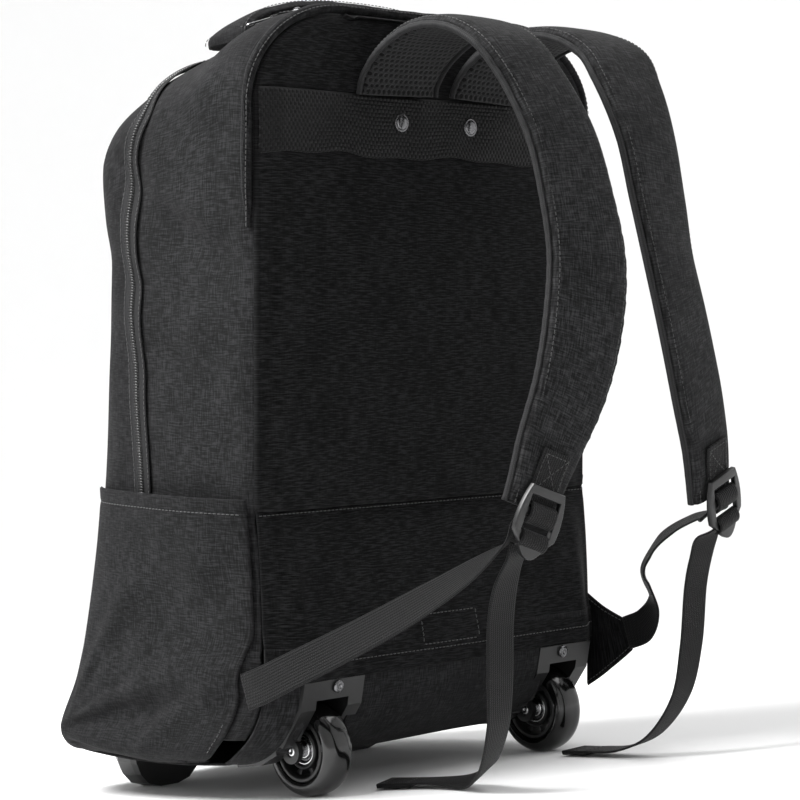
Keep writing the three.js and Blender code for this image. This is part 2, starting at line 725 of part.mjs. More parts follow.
function buildTopBand() {
  const place = sidePlace(waistHeight);
  const heights = [bandTop, bandTop - bandWidth];
  const grid = (above) => heights.map((z) => columnStops.map((across) => new THREE.Vector3(
    (panelWidth / 2 - seat) * across,
    panelFace(across, place) - above,
    z,
  )));
  add('top_band', layer(grid(seat + bandThickness), grid(seat)), 'webbing');
  [left, right].forEach((side) => {
    const face = panelFace(0, place) - seat - bandThickness - gap;
    const height = rivetRadius * 0.5;
    const rivet = new THREE.CylinderGeometry(rivetRadius, rivetRadius * 0.6, height, 12)
      .translate((side * rivetSpacing) / 2, face - height / 2, bandTop - bandWidth * 0.42);
    add(side === left ? 'rivet_left' : 'rivet_right', rivet, 'gunmetal');
  });
}

// A point below the body's round lower back edge, at a height of the body's own skin
function underBody(x, z, above) {
  const y = backDepth(x, z);
  if (z >= baseRoundHeight) return new THREE.Vector3(x, y - above, z);
  const cos = Math.sqrt(Math.max(0, baseRound ** 2 - (baseRoundHeight - z) ** 2)) / baseRound;
  const sin = (baseRoundHeight - z) / baseRound;
  return new THREE.Vector3(x, y - above * cos, z - above * sin);
}

const backHeights = sidePlaces.map((place) => outlinePoint(place, sectionAt(0), 0).z);

function buildLowerBackPanel() {
  const hemTop = hemHeight + hemWidth;
  const between = backHeights.filter((z) => z < pouchTop - 4 && z > hemTop);
  const heights = [pouchTop, ...between, hemTop, hemHeight];
  const grid = (above) => heights.map((z) => columnStops.map((across) => {
    const x = (panelWidth / 2) * across;
    const over = underlay * (1 - ease(hemTop, hemTop + 2 * hemWidth, z));
    return underBody(x, z, above + over);
  }));
  add('lower_back_panel', layer(grid(seat + skin), grid(seat)), 'panelCloth');
}

function buildBaseWrap() {
  const backPlaces = sidePlaces.filter(
    (place) => outlinePoint(place, sectionAt(0), 0).z < hemHeight + 2 * hemWidth,
  );
  const shares = depthStops.slice(2, -1);
  const grid = (above) => [
    ...backPlaces.map((place) => columnStops.map((across) => {
      const { x, z } = outlinePoint(place, sectionAt(0), 0);
      return underBody(x * across, z, above);
    })),
    ...shares.map((share) => columnStops.map((across) => {
      const { z } = outlinePoint(1, sectionAt(share), 0);
      const edge = Math.abs(across) === 1 ? pocketSeam : 0;
      const half = sectionAt(share).half - heelRound - edge;
      return new THREE.Vector3(half * across, bodyPoint(1, share).y, z - above);
    })),
  ];
  add('base_wrap', cut(layer(grid(seat + skin), grid(seat)), ...wellCuts), 'melange');
}

// Zips

const tapeSection = (width, thickness) => [
  [-width / 2, 0], [width / 2, 0], [width / 2, thickness], [2.2, thickness], [1.5, 2 * thickness],
  [-1.5, 2 * thickness], [-2.2, thickness], [-width / 2, thickness],
];

function addSlider(name, frame, pull) {
  const body = new THREE.BoxGeometry(sliderLength, sliderLength * 0.7, sliderLength * 0.3);
  const basis = new THREE.Matrix4().makeBasis(
    new THREE.Vector3().crossVectors(frame.across, frame.out), frame.across, frame.out,
  );
  const lift = 2 * tapeThickness + gap + sliderLength * 0.15;
  basis.setPosition(frame.at.clone().addScaledVector(frame.out, lift));
  add(name, body.applyMatrix4(basis), 'gunmetal');
  if (!pull) return;
  const run = pull.clone().normalize();
  const from = frame.at.clone().addScaledVector(run, sliderLength * 0.62)
    .addScaledVector(frame.out, 2 * tapeThickness + 2 * gap + sliderLength * 0.3);
  const across = new THREE.Vector3().crossVectors(frame.out, run).normalize();
  const out = new THREE.Vector3().crossVectors(run, across);
  const frames = [0, 0.5, 1].map((share) => {
    const at = from.clone().addScaledVector(run, share * pullLength);
    return { at, across, out };
  });
  add(`${name}_pull`, sweep(frames, bandSection(pullWidth, 1.2)), 'steel');
}

function buildZips() {
  const mainFrames = skinFrames(mainZipShare, -mainZipEnd, mainZipEnd, seat);
  add('main_zip', sweep(mainFrames, tapeSection(zipTape, tapeThickness)), 'webbing');
  const near = skinFrames(mainZipShare, -archPlace(mainZipHalf * 0.77, mainZipShare), 0, seat)[0];
  addSlider('main_slider', near, new THREE.Vector3(-0.6, 0.22, -0.2));
  const low = sidePlace(pocketHeight - 5);
  const frontFrames = skinFrames(zipShare, -low, low, 2 * seat);
  add('front_zip', sweep(frontFrames, tapeSection(zipTape, tapeThickness)), 'webbing');
  addSlider('front_slider', skinFrames(zipShare, sidePlace(pocketHeight + 60), low, 2 * seat)[0], null);
}

// Welt along the arch's back edge
function buildWelt() {
  const end = breaks.waist;
  const frames = skinFrames(0.02, -end, end, seat);
  const ring = [0, 1, 2, 3, 4, 5].map((i) => {
    const angle = (i / 6) * 2 * Math.PI;
    return [weltRadius * Math.cos(angle), weltRadius * (1 + Math.sin(angle))];
  });
  add('back_welt', sweep(frames, ring), 'melange');
}

// Line of the grab handle. along: share of its half span; up: share of its rise.
const handleRoute = [
  { along: -1.0, up: 0.0 },
  { along: -0.97, up: 0.3 },
  { along: -0.84, up: 0.6 },
  { along: -0.5, up: 0.9 },
  { along: 0.0, up: 1.0 },
  { along: 0.5, up: 0.9 },
  { along: 0.84, up: 0.6 },
  { along: 0.97, up: 0.3 },
  { along: 1.0, up: 0.0 },
];

function buildGrabHandle() {
  const half = handleSpan / 2;
  const share = (zipShare * handleDepth) / mainDepth;
  const place = archPlace(half, share);
  const foot = onBody(place, share, 6 * seat + meshThickness);
  const across = bodyPoint(place, share + 0.1).sub(bodyPoint(place, share - 0.1)).setX(0).normalize();
  const frames = framesAlong(handleRoute.map(({ along, up }) => ({
    at: new THREE.Vector3(along * half, foot.y, foot.z + up * handleRise), across,
  })), 18);
  add('grab_handle', sweep(frames, padSection(handleWidth, handleThickness)), 'melange');
  const lining = liningSection(handleWidth, meshThickness, -meshThickness - 2 * gap);
  add('grab_handle_mesh', sweep(frames, lining), 'mesh');
}

// Shoulder straps

const strapHalf = (strapPad + meshThickness) / 2;

function strapFrames(side) {
  const root = panelFace(0, breaks.waist) - strapHalf - gap - seat;
  const stations = strapRoute.map(({ back, aside, up, wide, turn }) => {
    const angle = THREE.MathUtils.degToRad(turn);
    const height = mix(strapDrop, panelTop, up);
    return {
      at: new THREE.Vector3(side * aside * strapSpread, root - back * strapReach, height),
      across: new THREE.Vector3(Math.cos(angle), side * Math.sin(angle), 0),
      scale: wide,
    };
  });
  return framesAlong(stations, 26);
}

function buildStrap(side, word) {
  const frames = strapFrames(side);
  const rise = meshThickness + 2 * gap - strapHalf;
  add(`strap_${word}`, sweep(frames, padSection(strapWidth, strapPad, rise)), 'melange');
  add(`strap_mesh_${word}`, sweep(frames, liningSection(strapWidth, meshThickness, -strapHalf)), 'mesh');
  const end = frames.at(-1);
  const face = strapPad + rise;
  const run = new THREE.Vector3().crossVectors(end.across, end.out).normalize();
  const patchFrames = [-0.85, -0.4, 0, 0.1].map((share) => {
    const lift = face + seat * (share < -0.5 ? 3 : 1);
    const at = end.at.clone().addScaledVector(run, share * patchLength).addScaledVector(end.out, lift);
    return { at, across: end.across, out: end.out };
  });
  add(`strap_patch_${word}`, sweep(patchFrames, bandSection(webWidth, webThickness)), 'webbing');
  const centre = end.at.clone().addScaledVector(run, buckleLength * 0.16)
    .addScaledVector(end.out, face + seat + webThickness + gap);
  const basis = new THREE.Matrix4().makeBasis(end.across, run.clone().negate(), end.out.clone());
  basis.setPosition(centre);
  add(`buckle_${word}`, buckleGeometry().applyMatrix4(basis), 'plastic');
  return { centre, run, out: end.out, across: end.across };
}

// A ladder-lock buckle: a frame with two slots and a tongue, its length along y
function buckleGeometry() {
  const w = buckleWidth / 2;
  const l = buckleLength / 2;
  const shape = new THREE.Shape();
  shape.moveTo(-w * 0.8, l);
  shape.lineTo(w * 0.8, l);
  shape.quadraticCurveTo(w * 1.15, l * 0.3, w, -l * 0.35);
  shape.lineTo(w * 0.62, -l * 0.62);
  shape.quadraticCurveTo(0, -l * 1.45, -w * 0.62, -l * 0.62);
  shape.lineTo(-w, -l * 0.35);
  shape.quadraticCurveTo(-w * 1.15, l * 0.3, -w * 0.8, l);
  [[0.74, 0.36], [0.14, -0.3]].forEach(([high, low]) => {
    const slot = new THREE.Path();
    slot.moveTo(-w * 0.72, l * low);
    slot.lineTo(w * 0.72, l * low);
    slot.lineTo(w * 0.72, l * high);
    slot.lineTo(-w * 0.72, l * high);
    slot.closePath();
    shape.holes.push(slot);
  });
  return new THREE.ExtrudeGeometry(shape, { depth: buckleThickness, bevelEnabled: false, curveSegments: 4 });
}

function buildWebbing(side, word, buckle, lower, tail) {
  const behind = (down, back) => buckle.centre.clone()
    .addScaledVector(buckle.run, down * buckleLength).addScaledVector(buckle.out, -back);
  const lowerRoute = [
    ...lower.map((row) => webStation(side, row)), { at: behind(0.1, 6.6), across: buckle.across },
  ];
  add(`webbing_${word}`, sweep(framesAlong(lowerRoute, 22), bandSection(webWidth, webThickness)), 'webbing');
  const tailRoute = [
    { at: behind(0.34, 3.2), across: buckle.across }, ...tail.map((row) => webStation(side, row)),
  ];
  const tailSolid = sweep(framesAlong(tailRoute, 26), bandSection(webWidth, webThickness));
  add(`strap_tail_${word}`, tailSolid, 'webbing');
}

function buildAnchorTab(side, word, end) {
  const edge = underBody(panelWidth / 2, hemHeight, underlay + seat + skin);
  const root = new THREE.Vector3(side * (panelWidth / 2 - 1), edge.y - 3 * gap, hemHeight - 4);
  const tip = webStation(side, end).at;
  const widths = [tabHeight, mix(tabHeight, webWidth + 2, 0.55), webWidth + 2];
  const up = webStation(side, end).across;
  const frames = [0, 0.5, 0.97].map((share, i) => ({
    at: root.clone().lerp(tip, share),
    across: new THREE.Vector3(0, 0, 1).lerp(up, share).normalize(),
    out: new THREE.Vector3(side, 0, 0),
    scale: widths[i] / webWidth,
  }));
  add(`anchor_tab_${word}`, sweep(frames, bandSection(webWidth, skin)), 'melange');
}

// Wheels and their housings

const housingHeights = [hemHeight - seat, ...backHeights.filter((z) => z < hemHeight - 2 * seat)];

function housingGeometry(side) {
  const centre = wheelX(side);
  const frames = housingHeights.map((z) => {
    const at = underBody(centre, z, underlay);
    const out = underBody(centre, z, underlay + 1).sub(at).normalize();
    return { at, across: new THREE.Vector3(1, 0, 0), out };
  });
  const plate = sweep(frames, bandSection(plateWidth, plateThickness));
  const front = wellDepth + plateThickness;
  const roof = wellTop + plateThickness;
  const rim = frames.map(({ at, out }) => at.clone().addScaledVector(out, plateThickness / 2))
    .filter(({ y, z }) => z < wellTop && y < front - 1);
  const shape = new THREE.Shape([
    ...rim.map(({ y, z }) => new THREE.Vector2(y, z)),
    new THREE.Vector2(front, rim.at(-1).z),
    new THREE.Vector2(front, roof),
    new THREE.Vector2(rim[0].y, roof),
  ]);
  const along = new THREE.Matrix4().makeBasis(
    new THREE.Vector3(0, 1, 0), new THREE.Vector3(0, 0, 1), new THREE.Vector3(1, 0, 0),
  );
  const block = new THREE.ExtrudeGeometry(shape, { depth: 2 * wellHalf, bevelEnabled: false })
    .applyMatrix4(along).translate(centre - wellHalf, 0, 0);
  const lobe = pinAlongX(cheekLobe, 2 * wellHalf, 16, centre, wheelSetback, wheelRadius);
  const half = windowWidth / 2;
  const room = box([centre - half, -baseRound, -baseRound], [centre + half, wellDepth, windowTop]);
  const bore = pinAlongX(axleRadius + gap, 3 * wellHalf, 12, centre, wheelSetback, wheelRadius);
  return cut(joined(plate, block, lobe), room, bore);
}

function lathe(profile, sides, x) {
  const points = [...profile, profile[0]].map(([radius, along]) => new THREE.Vector2(radius, along));
  return facingOut(mergeVertices(bareGeometry(new THREE.LatheGeometry(points, sides)), 1e-4))
    .rotateZ(Math.PI / 2).translate(x, wheelSetback, wheelRadius);
}

function bareGeometry(geometry) {
  geometry.deleteAttribute('normal');
  geometry.deleteAttribute('uv');
  return geometry;
}

function buildWheel(side, word) {
  const x = wheelX(side);
  const w = wheelWidth / 2;
  const r = wheelRadius;
  const tread = [
    [hubRadius + gap, -w * 0.86], [hubRadius + gap, w * 0.86], [r * 0.76, w], [r * 0.91, w * 0.86],
    [r * 0.98, w * 0.5], [r, 0], [r * 0.98, -w * 0.5], [r * 0.91, -w * 0.86], [r * 0.76, -w],
  ];
  add(`tyre_${word}`, lathe(tread, 20, x), 'tyre');
  const bore = bearingRadius + gap;
  const ringOut = bore + 2.6;
  const rimIn = hubRadius - 3.4;
  const profile = [
    [bore, -w * 0.66], [bore, w * 0.66], [ringOut, w * 0.66], [ringOut, w * 0.2],
    [rimIn, w * 0.2], [rimIn, w * 0.8],
    [hubRadius, w * 0.8], [hubRadius, -w * 0.8], [rimIn, -w * 0.8], [rimIn, -w * 0.2], [ringOut, -w * 0.2],
    [ringOut, -w * 0.66],
  ];
  const slotCount = 8;
  const slots = Array.from({ length: slotCount }, (_, i) => (
    new THREE.BoxGeometry(w, rimIn - ringOut + 1, 6).translate(0, (rimIn + ringOut) / 2, 0)
      .rotateX((i / slotCount) * 2 * Math.PI).translate(x, wheelSetback, r)
  ));
  add(`hub_${word}`, cut(lathe(profile, 16, x), ...slots), 'plastic');
  const race = axleRadius + gap;
  add(`bearing_${word}`, lathe([
    [race, -w * 0.6], [race, w * 0.6], [bearingRadius, w * 0.6], [bearingRadius, -w * 0.6],
  ], 16, x), 'steel');
  const pin = pinAlongX(axleRadius, 2 * wellHalf - 1, 12, x, wheelSetback, r);
  add(`axle_${word}`, bareGeometry(pin), 'steel');
  add(`wheel_housing_${word}`, housingGeometry(side), 'plastic');
}

// Height of the floor in the bag's own frame
const floorAt = (y) => wheelRadius - wheelRadius / Math.cos(leanBack)
  - Math.tan(leanBack) * (y - wheelSetback);

// Section of a foot from its near end to its far one. along: share of its length; wide: share of its
// width; lift: share of its height by which its underside has left the floor.
const footProfile = [
  { along: 0.0, wide: 0.97, lift: 0.0 },
  { along: 0.2, wide: 1.0, lift: 0.0 },
  { along: 0.72, wide: 1.0, lift: 0.0 },
  { along: 1.0, wide: 0.86, lift: 0.22 },
];
const footRound = [0, 0.3, 0.55, 0.78, 1];

// A front foot: half round across, flat where it meets the floor
function buildFoot(side, word) {
  const end = (footDepth + footLength - mainDepth) / (frontDepth(0) - mainDepth);
  const top = bodyPoint(1, mix(zipShare, 1, end)).z - underlay;
  const rings = footProfile.map(({ along, wide, lift }) => {
    const y = footDepth + along * footLength;
    const floor = floorAt(y);
    const half = (footWidth / 2) * wide;
    const arc = footRound.map((turn) => {
      const angle = (turn * Math.PI) / 2;
      const rise = mix(1 - Math.cos(angle), 1, lift * Math.cos(angle));
      return [mix(footFlat / 2, half, Math.sin(angle)), mix(floor, top, rise)];
    });
    return [...arc, ...arc.toReversed().map(([x, z]) => [-x, z])]
      .map(([x, z]) => new THREE.Vector3(side * footStance + x, y, z));
  });
  const count = rings[0].length;
  const last = (rings.length - 1) * count;
  const faces = [];
  for (let i = 0; i + 1 < rings.length; i += 1) {
    for (let j = 0; j < count; j += 1) {
      const k = (j + 1) % count;
      faces.push(i * count + j, i * count + k, (i + 1) * count + k);
      faces.push(i * count + j, (i + 1) * count + k, (i + 1) * count + j);
    }
  }
  for (let j = 1; j + 1 < count; j += 1) faces.push(0, j + 1, j, last, last + j, last + j + 1);
  add(`foot_${word}`, facingOut(solidGeometry(rings.flat(), faces)), 'plastic');
}

buildMainShell();
buildFrontCompartment();
buildFrontPocket();
buildSidePocket(left, 'side_pocket_left');
buildSidePocket(right, 'side_pocket_right');
buildBackPanel();
buildTopBand();
buildLowerBackPanel();
buildBaseWrap();
buildZips();
buildWelt();
buildGrabHandle();
const buckles = [buildStrap(left, 'left'), buildStrap(right, 'right')];
buildWebbing(left, 'left', buckles[0], lowerWebLeft, tailLeft);
buildWebbing(right, 'right', buckles[1], lowerWebRight, tailRight);
buildAnchorTab(right, 'right', lowerWebRight[0]);
[[left, 'left'], [right, 'right']].forEach(([side, word]) => {
  buildWheel(side, word);
  buildFoot(side, word);
});

// Leaned back onto wheels and feet, and centred over the middle of its own footprint box
bag.rotation.x = leanBack;
const part = new THREE.Group();
part.add(bag);
part.updateMatrixWorld(true);
const bounds = new THREE.Box3().setFromObject(part, true);
bag.position.set(-(bounds.min.x + bounds.max.x) / 2, -(bounds.min.y + bounds.max.y) / 2, -bounds.min.z);

export default part;
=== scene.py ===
import json
import math

import bpy
import numpy as np
from mathutils import Matrix, Vector


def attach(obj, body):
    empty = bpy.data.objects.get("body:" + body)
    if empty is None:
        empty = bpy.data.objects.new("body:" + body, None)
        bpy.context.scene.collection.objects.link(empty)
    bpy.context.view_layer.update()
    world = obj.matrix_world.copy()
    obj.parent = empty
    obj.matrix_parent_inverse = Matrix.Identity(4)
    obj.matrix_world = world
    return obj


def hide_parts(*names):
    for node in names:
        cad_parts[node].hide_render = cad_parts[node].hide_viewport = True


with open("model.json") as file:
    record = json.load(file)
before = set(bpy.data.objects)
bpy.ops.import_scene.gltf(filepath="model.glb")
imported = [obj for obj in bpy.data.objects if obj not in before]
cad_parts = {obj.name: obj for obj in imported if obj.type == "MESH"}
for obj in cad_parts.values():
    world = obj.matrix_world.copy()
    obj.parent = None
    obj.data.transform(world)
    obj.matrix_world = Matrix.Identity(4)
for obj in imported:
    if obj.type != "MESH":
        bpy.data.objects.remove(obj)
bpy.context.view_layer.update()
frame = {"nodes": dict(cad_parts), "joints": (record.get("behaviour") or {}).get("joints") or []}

# Lengths are in millimetres in the bag's own upright frame: x to the right of someone who looks at the straps,
# y from the back panel to the front, z up. row() leans them back onto the wheels and turns them into metres.
WHEEL_RADIUS = 32.0
FOOT_DROP = 19.5
FOOT_DEPTH = 172.0
WHEEL_SETBACK = 1.0
WHEEL_X = 116.0
PANEL_HALF = 163.0
PANEL_TOP = 524.0
PANEL_PLANE = 4.0
BAG_DEPTH = 176.0
MAIN_DEPTH = 112.0
ZIP_SHARE = 0.68
POCKET_HEIGHT = 201.0
POUCH_TOP = 194.0
HEM_HEIGHT = 82.0
BASE_ROUND = 61.0
BASE_ROUND_HEIGHT = 84.0
SEAT = 0.6
SKIN = 2.0
WEB = 25.0

reach = math.hypot(WHEEL_RADIUS + FOOT_DROP, FOOT_DEPTH - WHEEL_SETBACK)
LEAN = math.acos(WHEEL_RADIUS / reach) - math.atan2(FOOT_DEPTH - WHEEL_SETBACK, WHEEL_RADIUS + FOOT_DROP)
TURN = np.array(Matrix.Rotation(LEAN, 3, "X"))
spin = next(j for j in frame["joints"] if j["name"] == "wheel_left_spin")
SHIFT = np.array(spin["pos_m"]) - TURN @ np.array([-WHEEL_X, WHEEL_SETBACK, WHEEL_RADIUS]) / 1000


def row(points):
    return np.asarray(points, float) / 1000 @ TURN.T + SHIFT


def unit(v):
    v = np.asarray(v, float)
    return v / np.maximum(np.linalg.norm(v, axis=-1, keepdims=True), 1e-9)


def ease(low, high, value):
    t = np.clip((np.asarray(value, float) - low) / (high - low), 0, 1)
    return t * t * (3 - 2 * t)


def look_up(xs, ys, x):
    """Smooth value of a table's column."""
    xs, ys = np.asarray(xs, float), np.asarray(ys, float)
    slope = np.zeros(len(xs))
    slope[1:-1] = (ys[2:] - ys[:-2]) / (xs[2:] - xs[:-2])
    x = np.asarray(x, float)
    i = np.clip(np.searchsorted(xs, x, side="left") - 1, 0, len(xs) - 2)
    h = xs[i + 1] - xs[i]
    t = np.clip((x - xs[i]) / h, 0, 1)
    a = 2 * t ** 3 - 3 * t ** 2 + 1
    b = t ** 3 - 2 * t ** 2 + t
    c = 3 * t ** 2 - 2 * t ** 3
    d = t ** 3 - t ** 2
    return a * ys[i] + b * h * slope[i] + c * ys[i + 1] + d * h * slope[i + 1]


def ripple(seed, *coords):
    """Smooth noise between about -1 and 1 from a few sine waves, the same on every run."""
    rng = np.random.default_rng(seed)
    total = 0
    for k in range(5):
        phase = rng.uniform(0, 2 * math.pi)
        way = rng.normal(size=len(coords))
        way /= np.linalg.norm(way)
        total = total + np.sin(sum(w * c for w, c in zip(way, coords)) * (1 + 0.45 * k) + phase) / (1 + 0.5 * k)
    return total / 2.2


# The bag's body, as the frame's solids have it

BREAKS = {"top": 0.12, "arch": 0.34, "waist": 0.42, "footing": 0.72, "heel": 0.78, "base": 0.88}
SECTIONS = np.array([
    # depth, width, top, across, down
    [0.00, 1.000, 1.000, 1.00, 1.00],
    [0.05, 1.016, 1.007, 1.00, 1.00],
    [0.16, 1.026, 1.008, 1.00, 1.00],
    [0.28, 1.035, 0.997, 1.02, 0.98],
    [0.40, 1.037, 0.978, 1.05, 0.95],
    [0.52, 1.035, 0.966, 1.05, 0.92],
    [0.62, 1.030, 0.957, 1.05, 0.90],
    [0.68, 1.030, 0.951, 1.05, 0.90],
    [0.76, 1.030, 0.942, 1.05, 0.89],
    [0.86, 1.024, 0.922, 1.00, 0.85],
    [0.94, 0.995, 0.905, 0.95, 0.82],
    [1.00, 0.930, 0.875, 0.80, 0.75],
])
DEPTHS = np.array([
    # height, zip, front
    [0.00, 1.00, 1.330],
    [0.05, 1.00, 1.300],
    [0.12, 1.00, 1.190],
    [0.25, 0.99, 1.070],
    [0.39, 1.00, 0.985],
    [0.55, 1.07, 0.940],
    [0.68, 1.12, 0.915],
    [0.74, 1.13, 0.955],
    [0.81, 1.12, 0.980],
    [0.90, 1.02, 0.950],
    [1.01, 0.98, 0.930],
])
FOLDS = [
    # front, back, wide, deep
    (0.880, 0.770, 0.028, 0.9),
    (0.785, 0.655, 0.034, 1.0),
    (0.660, 0.570, 0.030, 0.7),
    (0.550, 0.480, 0.035, 0.4),
    (0.090, 0.135, 0.030, 0.9),
    (0.050, 0.190, 0.026, -0.8),
]
POUCH = np.array([[0.0, 1.0], [0.5, 1.0], [0.62, 0.92], [0.8, 0.62], [0.93, 0.25], [1.0, 0.0]])


def section(v):
    v = np.asarray(v, float)
    return {
        "half": PANEL_HALF * look_up(SECTIONS[:, 0], SECTIONS[:, 1], v),
        "top": PANEL_TOP * look_up(SECTIONS[:, 0], SECTIONS[:, 2], v),
        "across": 79 * look_up(SECTIONS[:, 0], SECTIONS[:, 3], v),
        "down": 61 * look_up(SECTIONS[:, 0], SECTIONS[:, 4], v),
        "base": 23 - 11 * v,
    }


def outline(u, v):
    u, v = np.broadcast_arrays(np.asarray(u, float), np.asarray(v, float))
    s = section(v)
    a = np.abs(u)
    b = BREAKS
    turn = np.clip((a - b["top"]) / (b["arch"] - b["top"]), 0, 1) * math.pi / 2
    heel = np.clip((a - b["heel"]) / (b["base"] - b["heel"]), 0, 1) * math.pi / 2
    x = np.where(a <= b["top"], (s["half"] - s["across"]) * a / b["top"],
                 s["half"] - s["across"] + s["across"] * np.sin(turn))
    x = np.where(a > b["heel"], s["half"] - 14 + 14 * np.cos(heel), x)
    x = np.where(a > b["base"], (s["half"] - 14) * (1 - a) / (1 - b["base"]), x)
    z = s["top"] - s["down"] + s["down"] * np.cos(turn)
    low = s["top"] - s["down"]
    z = np.where(a > b["arch"], low + (380 - low) * (a - b["arch"]) / (b["waist"] - b["arch"]), z)
    z = np.where(a > b["waist"], 380 + (64 - 380) * (a - b["waist"]) / (b["footing"] - b["waist"]), z)
    z = np.where(a > b["footing"],
                 64 + (s["base"] + 14 - 64) * (a - b["footing"]) / (b["heel"] - b["footing"]), z)
    z = np.where(a > b["heel"], s["base"] + 14 - 14 * np.sin(heel), z)
    return np.sign(u) * x, z


def side_place(height):
    return BREAKS["waist"] + (BREAKS["footing"] - BREAKS["waist"]) * (380 - np.asarray(height, float)) / (380 - 64)


def arch_place(x, v):
    s = section(v)
    flat = s["half"] - s["across"]
    turn = np.arcsin(np.clip((x - flat) / s["across"], 0, 1)) / (math.pi / 2)
    return np.where(x <= flat, BREAKS["top"] * x / flat, BREAKS["top"] + (BREAKS["arch"] - BREAKS["top"]) * turn)


def back_depth(x, z):
    swell = 21 * look_up(POUCH[:, 0], POUCH[:, 1], z / POUCH_TOP)
    edge = ease(0.84, 1, np.abs(x) / PANEL_HALF)
    below = np.maximum(0, BASE_ROUND_HEIGHT - z)
    return PANEL_PLANE - swell * (1 - 0.7 * edge) + BASE_ROUND - np.sqrt(np.maximum(0, BASE_ROUND ** 2 - below ** 2))


def zip_depth(z):
    return MAIN_DEPTH * look_up(DEPTHS[:, 0], DEPTHS[:, 1], z / PANEL_TOP)


def front_depth(z):
    return BAG_DEPTH * look_up(DEPTHS[:, 0], DEPTHS[:, 2], z / PANEL_TOP)


def relief(u, v, x, y, z):
    """How far the cloth lies in, from the folds of the frame's solid."""
    a = np.abs(u)
    on_side = ease(BREAKS["top"], BREAKS["arch"], a) * (1 - ease(BREAKS["heel"], BREAKS["base"], a))
    held = np.sin(math.pi * np.clip(v / 0.96, 0, 1)) ** 0.6
    share = v / ZIP_SHARE
    deep = 0
    for front, back, wide, depth in FOLDS:
        away = (z / PANEL_TOP - back - (front - back) * share) / wide
        deep = deep + 5 * depth * np.exp(-away * away)
    return deep * on_side * held


def fine(u, v, x, y, z):
    """Finer folds than the solids have."""
    a = np.abs(u)
    on_side = ease(0.16, 0.3, a) * (1 - ease(0.76, 0.84, a))
    held = np.sin(math.pi * np.clip(v / 0.68, 0, 1)) ** 0.5 * (v < 0.68)
    side = np.sign(u)
    down = (y - 60) * (0.42 + 0.06 * side)
    s = z - down
    folds = 0
    for at, wide, deep, low, high in (
            (452, 9, 1.4, 20, 100), (428, 12, -2.0, 15, 110), (392, 8, -1.6, 30, 112), (368, 14, 2.4, 10, 90),
            (343, 8, 1.2, 40, 110), (318, 10, -1.5, 10, 80), (286, 12, 1.6, 30, 110), (252, 9, 1.0, 20, 90)):
        away = (s - at) / wide
        there = ease(low - 12, low + 14, y) * (1 - ease(high - 14, high + 12, y))
        folds = folds + deep * np.exp(-away * away) * there
    loose = 0.7 * ripple(11, x / 26, y / 17, (z + 0.4 * y) / 21) + 0.35 * ripple(12, y / 9, (z + 0.3 * y) / 8)
    top = (1 - ease(0.1, 0.3, a)) * 0.8 * ripple(13, x / 22, y / 14)
    return on_side * held * (1.5 * folds + 1.3 * loose) + top * held


def body(u, v, finely=False):
    u, v = np.broadcast_arrays(np.asarray(u, float), np.asarray(v, float))
    x, z = outline(u, v)
    back, seam, front = back_depth(x, z), zip_depth(z), front_depth(z)
    y = np.where(v <= ZIP_SHARE, back + (seam - back) * v / ZIP_SHARE,
                 seam + (front - seam) * (v - ZIP_SHARE) / (1 - ZIP_SHARE))
    deep = relief(u, v, x, y, z)
    if finely:
        deep = deep + fine(u, v, x, y, z)
    return np.stack([x - np.sign(x) * deep, y, z], -1)


def body_out(u, v):
    h = 0.004
    around = body(np.asarray(u) + h, v) - body(np.asarray(u) - h, v)
    through = body(u, np.minimum(1, np.asarray(v) + h)) - body(u, np.maximum(0, np.asarray(v) - h))
    return unit(np.cross(around, through))


def on_body(u, v, above, finely=False):
    u, v = np.broadcast_arrays(np.asarray(u, float), np.asarray(v, float))
    return body(u, v, finely) + body_out(u, v) * np.asarray(above)[..., None]


# Meshes

def new_object(name, points, faces, uv=None, smooth=True):
    mesh = bpy.data.meshes.new(name)
    mesh.from_pydata(row(points).tolist(), [], faces)
    mesh.validate()
    if uv is not None:
        layer = mesh.uv_layers.new(name="Cloth")
        loops = np.empty(len(mesh.loops), int)
        mesh.loops.foreach_get("vertex_index", loops)
        layer.data.foreach_set("uv", np.asarray(uv, float)[loops].ravel() / 1000)
    if smooth:
        mesh.polygons.foreach_set("use_smooth", [True] * len(mesh.polygons))
    mesh.update()
    obj = bpy.data.objects.new(name, mesh)
    bpy.context.scene.collection.objects.link(obj)
    return obj


def finish_piece(obj, finish, body_name="bag", nodes=()):
    obj.data.materials.clear()
    obj.data.materials.append(finish)
    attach(obj, body_name)
    if nodes:
        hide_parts(*nodes)
    return obj


def grid_faces(rows, cols, start=0, flip=False, wrap=False):
    i, j = np.meshgrid(np.arange(rows - 1), np.arange(cols if wrap else cols - 1), indexing="ij")
    k = (j + 1) % cols
    a, b = start + i * cols + j, start + i * cols + k
    c, d = start + (i + 1) * cols + k, start + (i + 1) * cols + j
    quads = np.stack([a, d, c, b] if flip else [a, b, c, d], -1).reshape(-1, 4)
    return quads.tolist()


def grid_normals(grid):
    du = np.gradient(grid, axis=0)
    dv = np.gradient(grid, axis=1)
    return unit(np.cross(du, dv))


def grid_uv(grid):
    mid = grid[:, grid.shape[1] // 2]
    across = grid[grid.shape[0] // 2]
    down = np.concatenate([[0], np.cumsum(np.linalg.norm(np.diff(mid, axis=0), axis=1))])
    over = np.concatenate([[0], np.cumsum(np.linalg.norm(np.diff(across, axis=0), axis=1))])
    v, u = np.meshgrid(down, over, indexing="ij")
    return np.stack([u, v], -1)


